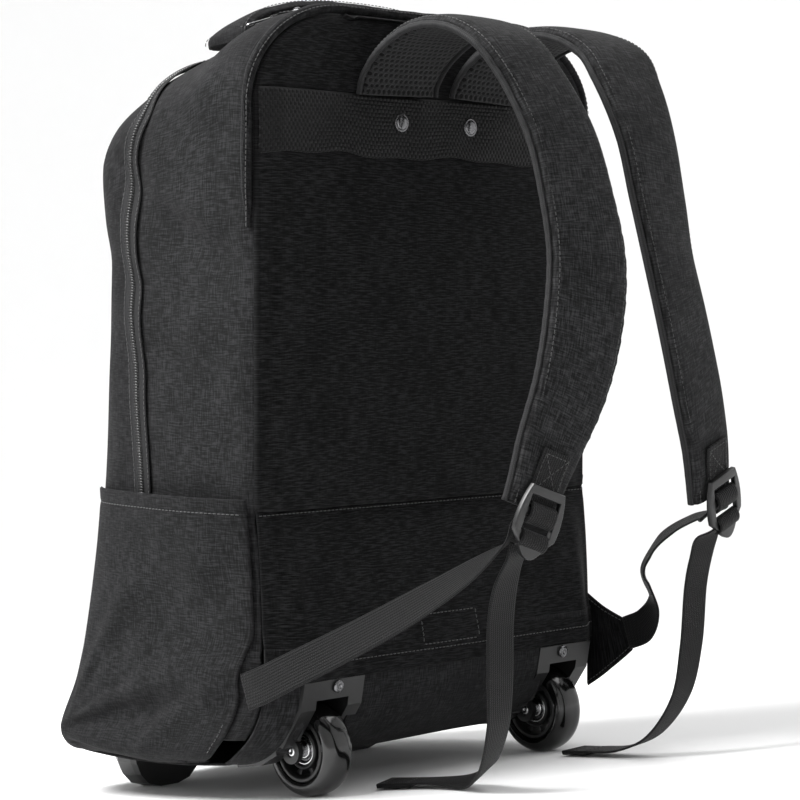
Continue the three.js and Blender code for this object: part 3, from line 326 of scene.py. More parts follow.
def cloth(name, grid, thick=1.6, outward=None, swap_uv=False, roll=0.45):
    """A layer of cloth with round edges. grid is its outer face; outward is a point that it faces away from."""
    n = grid_normals(grid)
    centre = np.array([0, 80, 260.0]) if outward is None else np.asarray(outward, float)
    if np.mean(np.sum(n * (grid - centre), -1)) < 0:
        n = -n
    rows, cols = grid.shape[:2]
    inner = grid - n * thick
    edge = np.concatenate([np.arange(cols), np.arange(1, rows) * cols + cols - 1,
                           (rows - 1) * cols + np.arange(cols - 2, -1, -1), np.arange(rows - 2, 0, -1) * cols])
    flat = grid.reshape(-1, 3)
    count = rows * cols
    mid = (flat[edge] + inner.reshape(-1, 3)[edge]) / 2
    along = unit(np.roll(flat[edge], -1, 0) - np.roll(flat[edge], 1, 0))
    push = unit(np.cross(along, n.reshape(-1, 3)[edge]))
    inside = flat[edge] - grid.reshape(-1, 3).mean(0)
    push *= np.sign(np.sum(push * inside, -1, keepdims=True))
    mid = mid + push * thick * roll
    points = np.concatenate([flat, inner.reshape(-1, 3), mid])
    faces = grid_faces(rows, cols) + grid_faces(rows, cols, count, flip=True)
    e = len(edge)
    ring = 2 * count + np.arange(e)
    nxt = np.roll(np.arange(e), -1)
    for k in range(e):
        a, b = edge[k], edge[nxt[k]]
        m, q = ring[k], ring[nxt[k]]
        faces.append([int(b), int(a), int(m), int(q)])
        faces.append([int(q), int(m), int(count + a), int(count + b)])
    uv = grid_uv(grid).reshape(-1, 2)
    if swap_uv:
        uv = uv[:, ::-1]
    obj = new_object(name, points, faces, np.concatenate([uv, uv, uv[edge]]))
    turn_out(obj)
    return obj


def turn_out(obj):
    """Points every face outward."""
    import bmesh
    bm = bmesh.new()
    bm.from_mesh(obj.data)
    bmesh.ops.recalc_face_normals(bm, faces=bm.faces)
    bm.to_mesh(obj.data)
    bm.free()
    obj.data.update()


def subdivide(obj, levels=1):
    mod = obj.modifiers.new("Subdivision", "SUBSURF")
    mod.levels = levels
    mod.render_levels = levels
    mod.use_limit_surface = False
    return obj


def bevel(obj, width, segments=3, angle=30):
    mod = obj.modifiers.new("Bevel", "BEVEL")
    mod.width = width / 1000
    mod.segments = segments
    mod.limit_method = "ANGLE"
    mod.angle_limit = math.radians(angle)
    mod.harden_normals = False
    return obj


def curve_through(points, count):
    """Centripetal curve through points: its places, its directions and the station that each lies at."""
    p = np.asarray(points, float)
    p = np.vstack([2 * p[0] - p[1], p, 2 * p[-1] - p[-2]])
    t = np.linspace(0, len(points) - 1, count)
    i = np.minimum(t.astype(int), len(points) - 2)
    w = (t - i)[:, None]
    p0, p1, p2, p3 = p[i], p[i + 1], p[i + 2], p[i + 3]
    d0 = np.maximum(np.linalg.norm(p1 - p0, axis=1, keepdims=True) ** 0.5, 1e-4)
    d1 = np.maximum(np.linalg.norm(p2 - p1, axis=1, keepdims=True) ** 0.5, 1e-4)
    d2 = np.maximum(np.linalg.norm(p3 - p2, axis=1, keepdims=True) ** 0.5, 1e-4)
    t1 = ((p1 - p0) / d0 - (p2 - p0) / (d0 + d1) + (p2 - p1) / d1) * d1
    t2 = ((p2 - p1) / d1 - (p3 - p1) / (d1 + d2) + (p3 - p2) / d2) * d1
    c2, c3 = -3 * p1 + 3 * p2 - 2 * t1 - t2, 2 * p1 - 2 * p2 + t1 + t2
    at = p1 + t1 * w + c2 * w ** 2 + c3 * w ** 3
    run = unit(t1 + 2 * c2 * w + 3 * c3 * w ** 2)
    return at, run, t


def frames_along(points, acrosses, count, scales=None):
    """Even frames along a route: place, width direction, face direction and width factor."""
    fine_count = 600
    at, run, t = curve_through(points, fine_count)
    length = np.concatenate([[0], np.cumsum(np.linalg.norm(np.diff(at, axis=0), axis=1))])
    even = np.linspace(0, length[-1], count)
    pick = lambda values: np.stack([np.interp(even, length, values[:, k]) for k in range(values.shape[1])], -1)
    stations = np.arange(len(points))
    wide = np.stack([look_up(stations, np.asarray(acrosses, float)[:, k], t) for k in range(3)], -1)
    at, run, across = pick(at), unit(pick(run)), pick(wide)
    across = unit(across - run * np.sum(across * run, -1, keepdims=True))
    out = np.cross(run, across)
    scale = np.ones(count) if scales is None else np.interp(even, length, look_up(stations, scales, t))
    return {"at": at, "run": run, "across": across, "out": out, "scale": scale, "even": even}


def swept(name, f, profile, closed_ends=True, uv_long=True):
    """A solid swept along frames. profile is (count, k, 2) or (k, 2): across, out."""
    profile = np.asarray(profile, float)
    n = len(f["at"])
    if profile.ndim == 2:
        profile = np.repeat(profile[None], n, 0)
    k = profile.shape[1]
    pts = (f["at"][:, None] + f["across"][:, None] * profile[..., :1] * f["scale"][:, None, None]
           + f["out"][:, None] * profile[..., 1:])
    faces = grid_faces(n, k, wrap=True)
    if closed_ends:
        faces.append(list(range(k)))
        faces.append(list(range((n - 1) * k, n * k)))
    around = np.concatenate([[0], np.cumsum(np.linalg.norm(np.diff(profile[0], axis=0), axis=1))])
    uv = np.stack(np.broadcast_arrays(profile[..., 0], f["even"][:, None]), -1).reshape(-1, 2)
    obj = new_object(name, pts.reshape(-1, 3), faces, uv)
    turn_out(obj)
    return obj


def strip_profile(width, thick, columns=10):
    """A flat band's section with round selvedges, from its inner face (out 0) to its outer."""
    xs = np.linspace(-0.5, 0.5, columns) * (width - thick)
    low = [(x, 0) for x in xs]
    high = [(x, thick) for x in xs[::-1]]
    return np.array(low + [((width) / 2, thick * 0.5)] + high + [(-(width) / 2, thick * 0.5)])


# Finishes

def tree_of(name, color, rough, metal=0.0, sheen=0.0, coat=0.0, specular=0.5):
    mat = bpy.data.materials.new(name)
    mat.use_nodes = True
    tree = mat.node_tree
    shader = tree.nodes["Principled BSDF"]
    shader.inputs["Base Color"].default_value = (*color, 1)
    shader.inputs["Roughness"].default_value = rough
    shader.inputs["Metallic"].default_value = metal
    shader.inputs["Sheen Weight"].default_value = sheen
    shader.inputs["Sheen Roughness"].default_value = 0.6
    shader.inputs["Coat Weight"].default_value = coat
    shader.inputs["Coat Roughness"].default_value = 0.06
    shader.inputs["Specular IOR Level"].default_value = specular
    return mat, tree, shader


def put(tree, kind, settings=None, **links):
    n = tree.nodes.new(kind)
    for key, value in (settings or {}).items():
        setattr(n, key, value)
    for key, value in links.items():
        socket = n.inputs[int(key[1:])] if key[0] == "i" and key[1:].isdigit() else n.inputs[key.replace("_", " ")]
        if isinstance(value, bpy.types.NodeSocket):
            tree.links.new(value, socket)
        else:
            socket.default_value = value
    return n


def math_node(tree, operation, a, b=0.0, clamp=False):
    return put(tree, "ShaderNodeMath", {"operation": operation, "use_clamp": clamp}, i0=a, i1=b).outputs[0]


def stretched(tree, vector, scale):
    return put(tree, "ShaderNodeMapping", Vector=vector, Scale=scale).outputs[0]


def ramp(tree, factor, stops):
    n = put(tree, "ShaderNodeValToRGB", Fac=factor)
    n.color_ramp.elements[0].position, n.color_ramp.elements[0].color = stops[0][0], (*stops[0][1], 1)
    n.color_ramp.elements[1].position, n.color_ramp.elements[1].color = stops[-1][0], (*stops[-1][1], 1)
    for at, color in stops[1:-1]:
        n.color_ramp.elements.new(at).color = (*color, 1)
    return n.outputs[0]


def noise(tree, vector, scale, detail=2.0, rough=0.5):
    return put(tree, "ShaderNodeTexNoise", Vector=vector, Scale=scale, Detail=detail, Roughness=rough).outputs[0]


def bump(tree, height, strength, distance, below=None):
    n = put(tree, "ShaderNodeBump", Height=height, Strength=strength, Distance=distance)
    if below is not None:
        tree.links.new(below, n.inputs["Normal"])
    return n.outputs[0]


def sine(tree, vector, axis, period):
    """0 to 1 along one axis of a vector in metres, with that period in millimetres."""
    part = put(tree, "ShaderNodeSeparateXYZ", Vector=vector).outputs[axis]
    angle = math_node(tree, "MULTIPLY", part, 2 * math.pi * 1000 / period)
    return math_node(tree, "MULTIPLY_ADD", math_node(tree, "SINE", angle), 0.5), angle


def melange(name, dark, light, warp_bias=0.5, on_uv=True, sheen=0.02, rough=0.85, specular=0.1):
    """Two-tone woven cloth: light and dark yarns along both thread directions, over a fine plain weave."""
    mat, tree, shader = tree_of(name, light, rough, sheen=sheen, specular=specular)
    coord = put(tree, "ShaderNodeTexCoord").outputs["UV" if on_uv else "Object"]
    along = noise(tree, stretched(tree, coord, (950, 105, 300)), 1.0, 2.0, 0.6)
    over = noise(tree, stretched(tree, coord, (105, 950, 300)), 1.0, 2.0, 0.6)
    yarn = put(tree, "ShaderNodeMix", {"data_type": "FLOAT"}, i0=warp_bias, i2=along, i3=over).outputs[0]
    cloud = noise(tree, stretched(tree, coord, (28, 28, 28)), 1.0, 3.0, 0.55)
    tone = math_node(tree, "MULTIPLY_ADD", cloud, 0.16)
    tree.nodes[-1].inputs[2].default_value = -0.08
    mixed = math_node(tree, "ADD", yarn, tone)
    middle = tuple((a + b) / 2.8 for a, b in zip(dark, light))
    color = ramp(tree, mixed, [(0.38, dark), (0.5, middle), (0.61, light)])
    tree.links.new(color, shader.inputs["Base Color"])
    warp = put(tree, "ShaderNodeTexWave", {"wave_type": "BANDS", "bands_direction": "X", "wave_profile": "SIN"},
               Vector=coord, Scale=420.0, Distortion=0.6, Detail=1.0).outputs[1]
    weft = put(tree, "ShaderNodeTexWave", {"wave_type": "BANDS", "bands_direction": "Y", "wave_profile": "SIN"},
               Vector=coord, Scale=420.0, Distortion=0.6, Detail=1.0).outputs[1]
    weave = math_node(tree, "MAXIMUM", warp, weft)
    first = bump(tree, weave, 0.35, 0.0002)
    second = bump(tree, yarn, 0.45, 0.0003, first)
    soft = noise(tree, stretched(tree, coord, (55, 55, 55)), 1.0, 3.0, 0.5)
    tree.links.new(bump(tree, soft, 0.25, 0.0012, second), shader.inputs["Normal"])
    rougher = math_node(tree, "MULTIPLY_ADD", yarn, 0.12)
    tree.nodes[-1].inputs[2].default_value = rough - 0.06
    tree.links.new(rougher, shader.inputs["Roughness"])
    return mat


def ribbed(name, dark, light, rib=1.9, pick=1.5, sheen=0.03, rough=0.6, height=0.0005):
    """Woven webbing: rows of short raised stitches, offset from row to row. U runs across it and V along it."""
    mat, tree, shader = tree_of(name, light, rough, sheen=sheen, specular=0.14)
    coord = put(tree, "ShaderNodeTexCoord").outputs["UV"]
    cross, angle = sine(tree, coord, 0, rib)
    split = put(tree, "ShaderNodeSeparateXYZ", Vector=coord)
    row_index = math_node(tree, "FLOOR", math_node(tree, "MULTIPLY", split.outputs[0], 1000 / rib))
    shift = math_node(tree, "MULTIPLY", row_index, math.pi)
    run = math_node(tree, "ADD", math_node(tree, "MULTIPLY", split.outputs[1], 2 * math.pi * 1000 / pick), shift)
    picks = math_node(tree, "ABSOLUTE", math_node(tree, "SINE", math_node(tree, "MULTIPLY", run, 0.5)))
    ridge = math_node(tree, "ABSOLUTE", math_node(tree, "SINE", math_node(tree, "MULTIPLY", angle, 0.5)))
    relief_height = math_node(tree, "MULTIPLY", math_node(tree, "POWER", ridge, 0.6), math_node(tree, "POWER", picks, 0.5))
    # Base colour follows the stitch relief plus a little random grain: the grooves between the raised stitches are
    # painted shade, darker than the stitch tops.
    grain = noise(tree, stretched(tree, coord, (900, 300, 1)), 1.0, 2.0, 0.5)
    level = math_node(tree, "MULTIPLY_ADD", grain, 0.25)
    tree.links.new(relief_height, tree.nodes[-1].inputs[2])
    color = ramp(tree, level, [(0.1, dark), (1.15, light)])
    tree.links.new(color, shader.inputs["Base Color"])
    tree.links.new(bump(tree, relief_height, 0.9, height), shader.inputs["Normal"])
    return mat


def netted(name, thread, hole_shade, pitch=3.2, on_uv=True):
    """Spacer mesh: a net of thick threads round oval holes painted near black as shade, in staggered rows."""
    mat, tree, shader = tree_of(name, thread, 0.75, sheen=0.03, specular=0.15)
    coord = put(tree, "ShaderNodeTexCoord").outputs["UV" if on_uv else "Object"]
    cell = stretched(tree, coord, (1000 / pitch, 1000 / (pitch * 1.25), 1))
    split = put(tree, "ShaderNodeSeparateXYZ", Vector=cell)
    row_index = math_node(tree, "FLOOR", split.outputs[1])
    shifted = math_node(tree, "ADD", split.outputs[0], math_node(tree, "MULTIPLY", row_index, 0.5))
    dx = math_node(tree, "SUBTRACT", math_node(tree, "FRACT", shifted), 0.5)
    dy = math_node(tree, "SUBTRACT", math_node(tree, "FRACT", split.outputs[1]), 0.5)
    reach_sq = math_node(tree, "ADD", math_node(tree, "MULTIPLY", dx, dx), math_node(tree, "MULTIPLY", dy, dy))
    far = math_node(tree, "SQRT", reach_sq)
    solid = put(tree, "ShaderNodeMapRange", {"interpolation_type": "SMOOTHSTEP"},
                Value=far, **{"From_Min": 0.24, "From_Max": 0.42}).outputs[0]
    fuzz = noise(tree, stretched(tree, coord, (900, 900, 900)), 1.0, 2.0, 0.5)
    # The holes get painted shade: their near-black colour stands in for the shadow inside the mesh.
    color = ramp(tree, solid, [(0.1, hole_shade), (0.9, thread)])
    tree.links.new(color, shader.inputs["Base Color"])
    first = bump(tree, solid, 1.0, 0.0012)
    tree.links.new(bump(tree, fuzz, 0.3, 0.0002, first), shader.inputs["Normal"])
    return mat


def moulded(name, color, rough, grain=0.12, coat=0.0):
    mat, tree, shader = tree_of(name, color, rough, specular=0.5, coat=coat)
    coord = put(tree, "ShaderNodeTexCoord").outputs["Object"]
    small = noise(tree, stretched(tree, coord, (1400, 1400, 1400)), 1.0, 2.0, 0.6)
    large = noise(tree, stretched(tree, coord, (45, 45, 45)), 1.0, 3.0, 0.55)
    level = math_node(tree, "MULTIPLY_ADD", large, 0.16)
    tree.nodes[-1].inputs[2].default_value = rough - 0.08
    tree.links.new(level, shader.inputs["Roughness"])
    shade = ramp(tree, large, [(0.3, tuple(c * 0.85 for c in color)), (0.75, tuple(c * 1.2 for c in color))])
    tree.links.new(shade, shader.inputs["Base Color"])
    tree.links.new(bump(tree, small, grain, 0.0002), shader.inputs["Normal"])
    return mat


def metal(name, color, rough):
    mat, tree, shader = tree_of(name, color, rough, metal=1.0)
    coord = put(tree, "ShaderNodeTexCoord").outputs["Object"]
    scratch = noise(tree, stretched(tree, coord, (600, 90, 600)), 1.0, 3.0, 0.6)
    level = math_node(tree, "MULTIPLY_ADD", scratch, 0.18)
    tree.nodes[-1].inputs[2].default_value = rough - 0.07
    tree.links.new(level, shader.inputs["Roughness"])
    tree.links.new(bump(tree, scratch, 0.08, 0.0001), shader.inputs["Normal"])
    return mat


def thread_finish(name, color):
    mat, tree, shader = tree_of(name, color, 0.6, sheen=0.2)
    coord = put(tree, "ShaderNodeTexCoord").outputs["Object"]
    twist = noise(tree, stretched(tree, coord, (2500, 2500, 2500)), 1.0, 1.0, 0.5)
    shade = ramp(tree, twist, [(0.3, tuple(c * 0.6 for c in color)), (0.7, tuple(c * 1.3 for c in color))])
    tree.links.new(shade, shader.inputs["Base Color"])
    return mat


CLOTH = melange("Melange cloth", (0.0017, 0.0017, 0.0018), (0.0205, 0.0205, 0.0215), 0.45)
STRAP_CLOTH = melange("Strap cloth", (0.003, 0.003, 0.0031), (0.033, 0.033, 0.034), 0.5)
PANEL = melange("Panel cloth", (0.0018, 0.0018, 0.0019), (0.0155, 0.0155, 0.016), 0.85, sheen=0.01, specular=0.06)
WEBBING = ribbed("Ribbed webbing", (0.0002, 0.0002, 0.0002), (0.0055, 0.0055, 0.0058))
BAND = ribbed("Wide band", (0.0001, 0.0001, 0.0001), (0.0042, 0.0042, 0.0045), rib=2.6, pick=3.6, height=0.0012)
TAPE = ribbed("Zip tape", (0.004, 0.004, 0.004), (0.014, 0.014, 0.015), rib=0.9, pick=0.8, height=0.0002)
# Spacer mesh: its near-black second colour is painted shade in the holes.
MESH = netted("Spacer mesh", (0.016, 0.016, 0.0165), (0.0005, 0.0005, 0.0005), pitch=3.8)
PLASTIC = moulded("Black plastic", (0.006, 0.006, 0.0062), 0.36)
HUB = moulded("Hub plastic", (0.006, 0.006, 0.006), 0.42)
TYRE = moulded("Glossy tyre", (0.003, 0.003, 0.003), 0.14, grain=0.02, coat=0.15)
STEEL = metal("Bright steel", (0.62, 0.62, 0.63), 0.2)
DARK_METAL = metal("Dark metal", (0.16, 0.16, 0.165), 0.24)
COIL = moulded("Zip coil", (0.005, 0.005, 0.005), 0.3, grain=0.05)
THREAD = thread_finish("Dark thread", (0.012, 0.012, 0.012))


# Seams

def stitches(name, lines, length=2.7, skip=0.9, radius=0.33):
    """Rows of thread lying along lines, each line a pair: its points and the outward direction at each."""
    ring = np.array([[math.cos(a), math.sin(a)] for a in np.arange(5) * 2 * math.pi / 5])
    points, faces = [], []
    for path, out in lines:
        path, out = np.asarray(path, float), unit(out)
        length_along = np.concatenate([[0], np.cumsum(np.linalg.norm(np.diff(path, axis=0), axis=1))])
        total = length_along[-1]
        count = max(1, int(total / (length + skip)))
        starts = (np.arange(count) + 0.5) * total / count
        read = lambda where, values: np.stack([np.interp(where, length_along, values[:, k]) for k in range(3)], -1)
        mid = read(starts, path)
        ahead = unit(read(np.minimum(starts + 1, total), path) - read(np.maximum(starts - 1, 0), path))
        up = read(starts, out)
        up = unit(up - ahead * np.sum(up * ahead, -1, keepdims=True))
        side = np.cross(ahead, up)
        for s, wide, high in ((-0.5, 0.35, -0.2), (-0.3, 1.0, 0.25), (0.3, 1.0, 0.25), (0.5, 0.35, -0.2)):
            points.append((mid + ahead * s * length + up * radius * high)[:, None]
                          + side[:, None] * ring[None, :, :1] * radius * wide
                          + up[:, None] * ring[None, :, 1:] * radius * wide)
        block = np.stack(points[-4:], 1)
        del points[-4:]
        base = sum(p.shape[0] for p in points)
        flat = block.reshape(-1, 3)
        points.append(flat)
        for m in range(count):
            o = base + m * 20
            for r in range(3):
                for k in range(5):
                    q = (k + 1) % 5
                    faces.append([o + r * 5 + k, o + r * 5 + q, o + r * 5 + 5 + q, o + r * 5 + 5 + k])
            faces.append([o + 4, o + 3, o + 2, o + 1, o])
            faces.append([o + 15, o + 16, o + 17, o + 18, o + 19])
    obj = new_object(name, np.concatenate(points), faces)
    return finish_piece(obj, THREAD)


def skin_line(us, v, above, finely=True):
    """A line on the body's skin at a share of its depth."""
    us = np.asarray(us, float)
    v = np.broadcast_to(np.asarray(v, float), us.shape)
    return on_body(us, v, np.full(us.shape, above), finely), body_out(us, v)


seams = []


# Body

HEEL = BREAKS["heel"]
BASE = BREAKS["base"]


def face_depth(x, z):
    across = np.minimum(1, np.abs(x) / PANEL_HALF)
    return front_depth(z) + 9 * (1 - across ** 4) * np.sin(math.pi * np.clip(z / PANEL_TOP, 0, 1)) ** 0.5


def main_cloth():
    u = np.linspace(-0.77, 0.77, 370)
    v = np.linspace(0.004, ZIP_SHARE - 0.006, 64)
    grid = on_body(u[:, None], v[None, :], 0.0, True)
    obj = cloth("body_cloth", grid, 2.0, swap_uv=True)
    return finish_piece(obj, CLOTH, nodes=("main_shell",))


def front_cloth():
    u = np.linspace(-1, 1, 361)
    v = np.concatenate([np.linspace(ZIP_SHARE + 0.004, 0.93, 16), np.linspace(0.945, 1, 6)])
    rim = on_body(u[:, None], v[None, :], 0.0, True)
    edge = body(u, np.ones_like(u))
    inward = np.linspace(0, 1, 26)[1:]
    centre_z = np.clip(edge[:, 2], 90, 400)
    x = edge[:, None, 0] * (1 - inward)
    z = edge[:, None, 2] + (centre_z - edge[:, 2])[:, None] * inward
    base_y = face_depth(x, z)
    y = base_y + (edge[:, 1] - face_depth(edge[:, 0], edge[:, 2]))[:, None] * (1 - ease(0, 0.3, inward))
    y = y + ease(0, 0.2, inward) * (1.2 * ripple(21, x / 60, z / 34) + 0.5 * ripple(22, x / 20, z / 15))
    face = np.stack([x, y, z], -1)
    grid = np.concatenate([rim, face], 1)
    rows, cols = grid.shape[:2]
    uv = grid_uv(grid).reshape(-1, 2)[:, ::-1]
    obj = new_object("front_cloth", grid.reshape(-1, 3), grid_faces(rows, cols), uv)
    weld(obj, 0.05)
    turn_out(obj)
    return finish_piece(obj, CLOTH, nodes=("front_compartment",))


def weld(obj, distance):
    import bmesh
    bm = bmesh.new()
    bm.from_mesh(obj.data)
    bmesh.ops.remove_doubles(bm, verts=bm.verts, dist=distance / 1000)
    bm.to_mesh(obj.data)
    bm.free()


def front_pocket_cloth():
    z = np.linspace(352, 30, 110)
    edge_u = np.where(z > 64, side_place(z), BREAKS["footing"] + 0.05)
    half = np.abs(body(edge_u, np.ones_like(edge_u))[:, 0]) * 0.985
    across = np.linspace(-1, 1, 96)
    x = half[:, None] * across
    zz = np.repeat(z[:, None], 96, 1)
    rim = np.minimum(1, (1 - np.abs(across)) / 0.12)[None] * np.minimum(1, (z - 30) / 30)[:, None]
    lift = 1.2 + 5.4 * ease(0, 1, rim) * (0.25 + 0.75 * ease(0, 40, 352 - zz))
    y = face_depth(x, zz) + lift + ease(0.3, 1, rim) * (1.1 * ripple(31, x / 45, zz / 30) + 0.4 * ripple(32, x / 15, zz / 12))
    grid = np.stack([x, y, zz], -1)[:, ::-1]
    obj = cloth("front_pocket_cloth", grid, 2.0)
    seams.append((grid[3], grid_normals(grid)[3] * -np.sign(grid_normals(grid)[50, 50, 1]) * -1))
    return finish_piece(obj, CLOTH, nodes=("front_pocket",))


def pocket_spot(side, down, share, above=0.0):
    """A point of a side pocket. down: 0 at its hem and 1 at the bag's bottom edge; share: through the depth."""
    hem = side_place(POCKET_HEIGHT)
    place = hem + (HEEL - hem) * down
    bow = np.sin(math.pi * np.clip(share / 0.94, 0, 1)) ** 0.7
    gape = 9 * bow * (1 - ease(0, 0.5, down))
    return on_body(side * place, share, SEAT + SKIN + above + gape)


def side_pocket(side, word):
    hem = side_place(POCKET_HEIGHT)
    last = (BASE - hem) / (HEEL - hem)
    down = np.concatenate([np.linspace(0, 0.9, 98), np.linspace(0.91, last, 46)])
    across = np.linspace(0, 1, 98)
    opened = ease(0.42, 0.62, down)
    start = 0.03 + (0.11 - 0.03) * opened
    share = start[:, None] + (0.94 - start[:, None]) * across[None, :]
    D = np.repeat(down[:, None], len(across), 1)
    place = body(side * (hem + (HEEL - hem) * D), share)
    y, z = place[..., 1], place[..., 2]
    loose = ease(0.02, 0.2, D) * ease(0, 0.12, across[None]) * (1 - ease(0.9, 1, across[None]))
    # folds that fan out from the lower front corner, and slack ones below the hem
    away = np.hypot(y - 222, z - 22)
    turn = np.degrees(np.arctan2(z - 22, 226 - y))
    fan = (np.sin(turn / 60 * 2 * math.pi * 2.6 + 0.8) * 0.7 + np.sin(turn / 60 * 2 * math.pi * 5.1 + 2.0) * 0.45)
    fan = fan * np.exp(-away / 95) * ease(2, 22, away) * 5.0 * (1 - ease(52, 80, turn))
    ridge = 2.6 * np.exp(-((turn - 21) / 4.5) ** 2) * ease(12, 60, away) * (1 - ease(170, 212, away))
    valley = -2.2 * np.exp(-((turn - 12.5) / 4) ** 2) * ease(12, 60, away) * (1 - ease(150, 205, away))
    bag_folds = 2.2 * ripple(41 + int(side), y / 34, z / 17) + 1.1 * ripple(43, (y + 0.5 * z) / 14, z / 12)
    pleat = 1.4 * np.sin((y - 20) / 11.5) * np.exp(-((D - 0.1) / 0.1) ** 2) * 0.5
    lift = loose * (fan + ridge + valley + bag_folds * (1 - ease(0.75, 1.05, D)) + pleat)
    lift = np.maximum(lift, -1.9) * (1 - 0.6 * ease(1.0, last, D))
    grid = pocket_spot(side, D, share, lift)
    n = grid_normals(grid)
    if np.mean(n[..., 0] * side) < 0:
        n = -n
    # rolled hem, a stitched band, and the gathered corner
    hem_roll = 0.9 * (1 - ease(0, 9.5, POCKET_HEIGHT - z)) - 0.5 * np.exp(-((POCKET_HEIGHT - z - 9.5) / 1.4) ** 2)
    corner = np.exp(-(np.hypot(y - 224, z - 28) / 17) ** 2)
    gathered = corner * (3.5 + 2.6 * np.sin((y + 1.2 * z) / 3.4))
    grid = grid + n * (hem_roll + gathered)[..., None]
    grid[..., 1] += 4.5 * np.exp(-(np.hypot(y - 232, z - 30) / 26) ** 2)
    obj = cloth(f"side_pocket_cloth_{word}", grid, 2.0, outward=(side * 60, 110, 120), swap_uv=True)
    finish_piece(obj, CLOTH, nodes=(f"side_pocket_{word}",))
    row_hem = np.argmin(np.abs(z[:, 40] - (POCKET_HEIGHT - 9.5)))
    seams.append((grid[row_hem, 2:-2] + n[row_hem, 2:-2] * 0.2, n[row_hem, 2:-2]))
    slit = slice(int(0.62 * len(down)), len(down) - 30)
    seams.append((grid[slit, 4] + n[slit, 4] * 0.2, n[slit, 4]))
    return obj


def panel_face(across, place):
    rim = np.maximum(ease(0.87, 1, np.abs(across)), 1 - ease(BREAKS["top"], BREAKS["arch"] * 0.6, place))
    return PANEL_PLANE - SEAT - 6 * (1 - 0.55 * rim)


def back_panel():
    top, bottom = BREAKS["top"], side_place(195.0)
    place = np.concatenate([np.linspace(top, BREAKS["arch"], 48)[:-1], np.linspace(BREAKS["arch"], bottom, 120)])
    across = np.linspace(-1, 1, 150)
    x0, z0 = outline(place, 0.0)
    x = x0[:, None] * across * 0.994
    z = np.repeat(z0[:, None], len(across), 1) - 1.2 * (place[:, None] == top)
    y = panel_face(across[None], place[:, None])
    inside = 1 - ease(0.9, 1, np.abs(across))[None]
    soft = 0.9 * ripple(51, x / 70, z / 55) + 0.35 * ripple(52, x / 24, z / 18) + 0.25 * ripple(53, x / 9, z / 40)
    droop = 1.1 * np.exp(-((z - 205) / 12) ** 2) * np.sin(x / 17) * inside
    dents = sum(1.6 * np.exp(-(((x - s * 34.3) / 16) ** 2 + ((z - 448) / 26) ** 2)) for s in (-1, 1))
    y = y - inside * (soft + droop) + dents - 1.6 * inside * ease(425, 380, z) * np.cos(x / PANEL_HALF * 1.2) ** 2
    grid = np.stack([x, y, z], -1)
    obj = cloth("back_panel_cloth", grid, 5.2, outward=(0, 200, 260), roll=0.3)
    finish_piece(obj, PANEL, nodes=("back_panel",))
    return grid


def top_band():
    x = np.linspace(-PANEL_HALF + 1.2, PANEL_HALF - 1.2, 190)
    t = np.linspace(0, 1, 34)
    place = side_place(380.0)
    low = 431 + 1.3 * np.sin(x / 19 + 0.6) + 0.9 * np.sin(x / 8.3)
    high = 471 + 0.4 * np.sin(x / 30)
    z = high + (low - high) * t[:, None]
    X = np.repeat(x[None], len(t), 0)
    y = panel_face(X / PANEL_HALF, place) - SEAT - 1.6
    dents = sum(1.3 * np.exp(-(((X - s * 34.3) / 14) ** 2 + ((z - 452) / 15) ** 2)) for s in (-1, 1))
    y = y - 0.5 * ripple(61, X / 34, z / 20) - 0.7 * np.sin(X / 19 + 0.6) * ease(0.6, 1, t)[:, None] + dents
    grid = np.stack([X, y, z], -1)
    obj = cloth("top_band_webbing", grid, 1.6, outward=(0, 200, 260), swap_uv=True)
    finish_piece(obj, BAND, nodes=("top_band",))


def under_body(x, z, above):
    y = back_depth(x, z)
    low = np.minimum(1, np.maximum(0, BASE_ROUND_HEIGHT - z) / BASE_ROUND)
    cos = np.sqrt(np.maximum(0, 1 - low ** 2))
    return np.stack(np.broadcast_arrays(x, y - above * cos, z - above * low), -1)


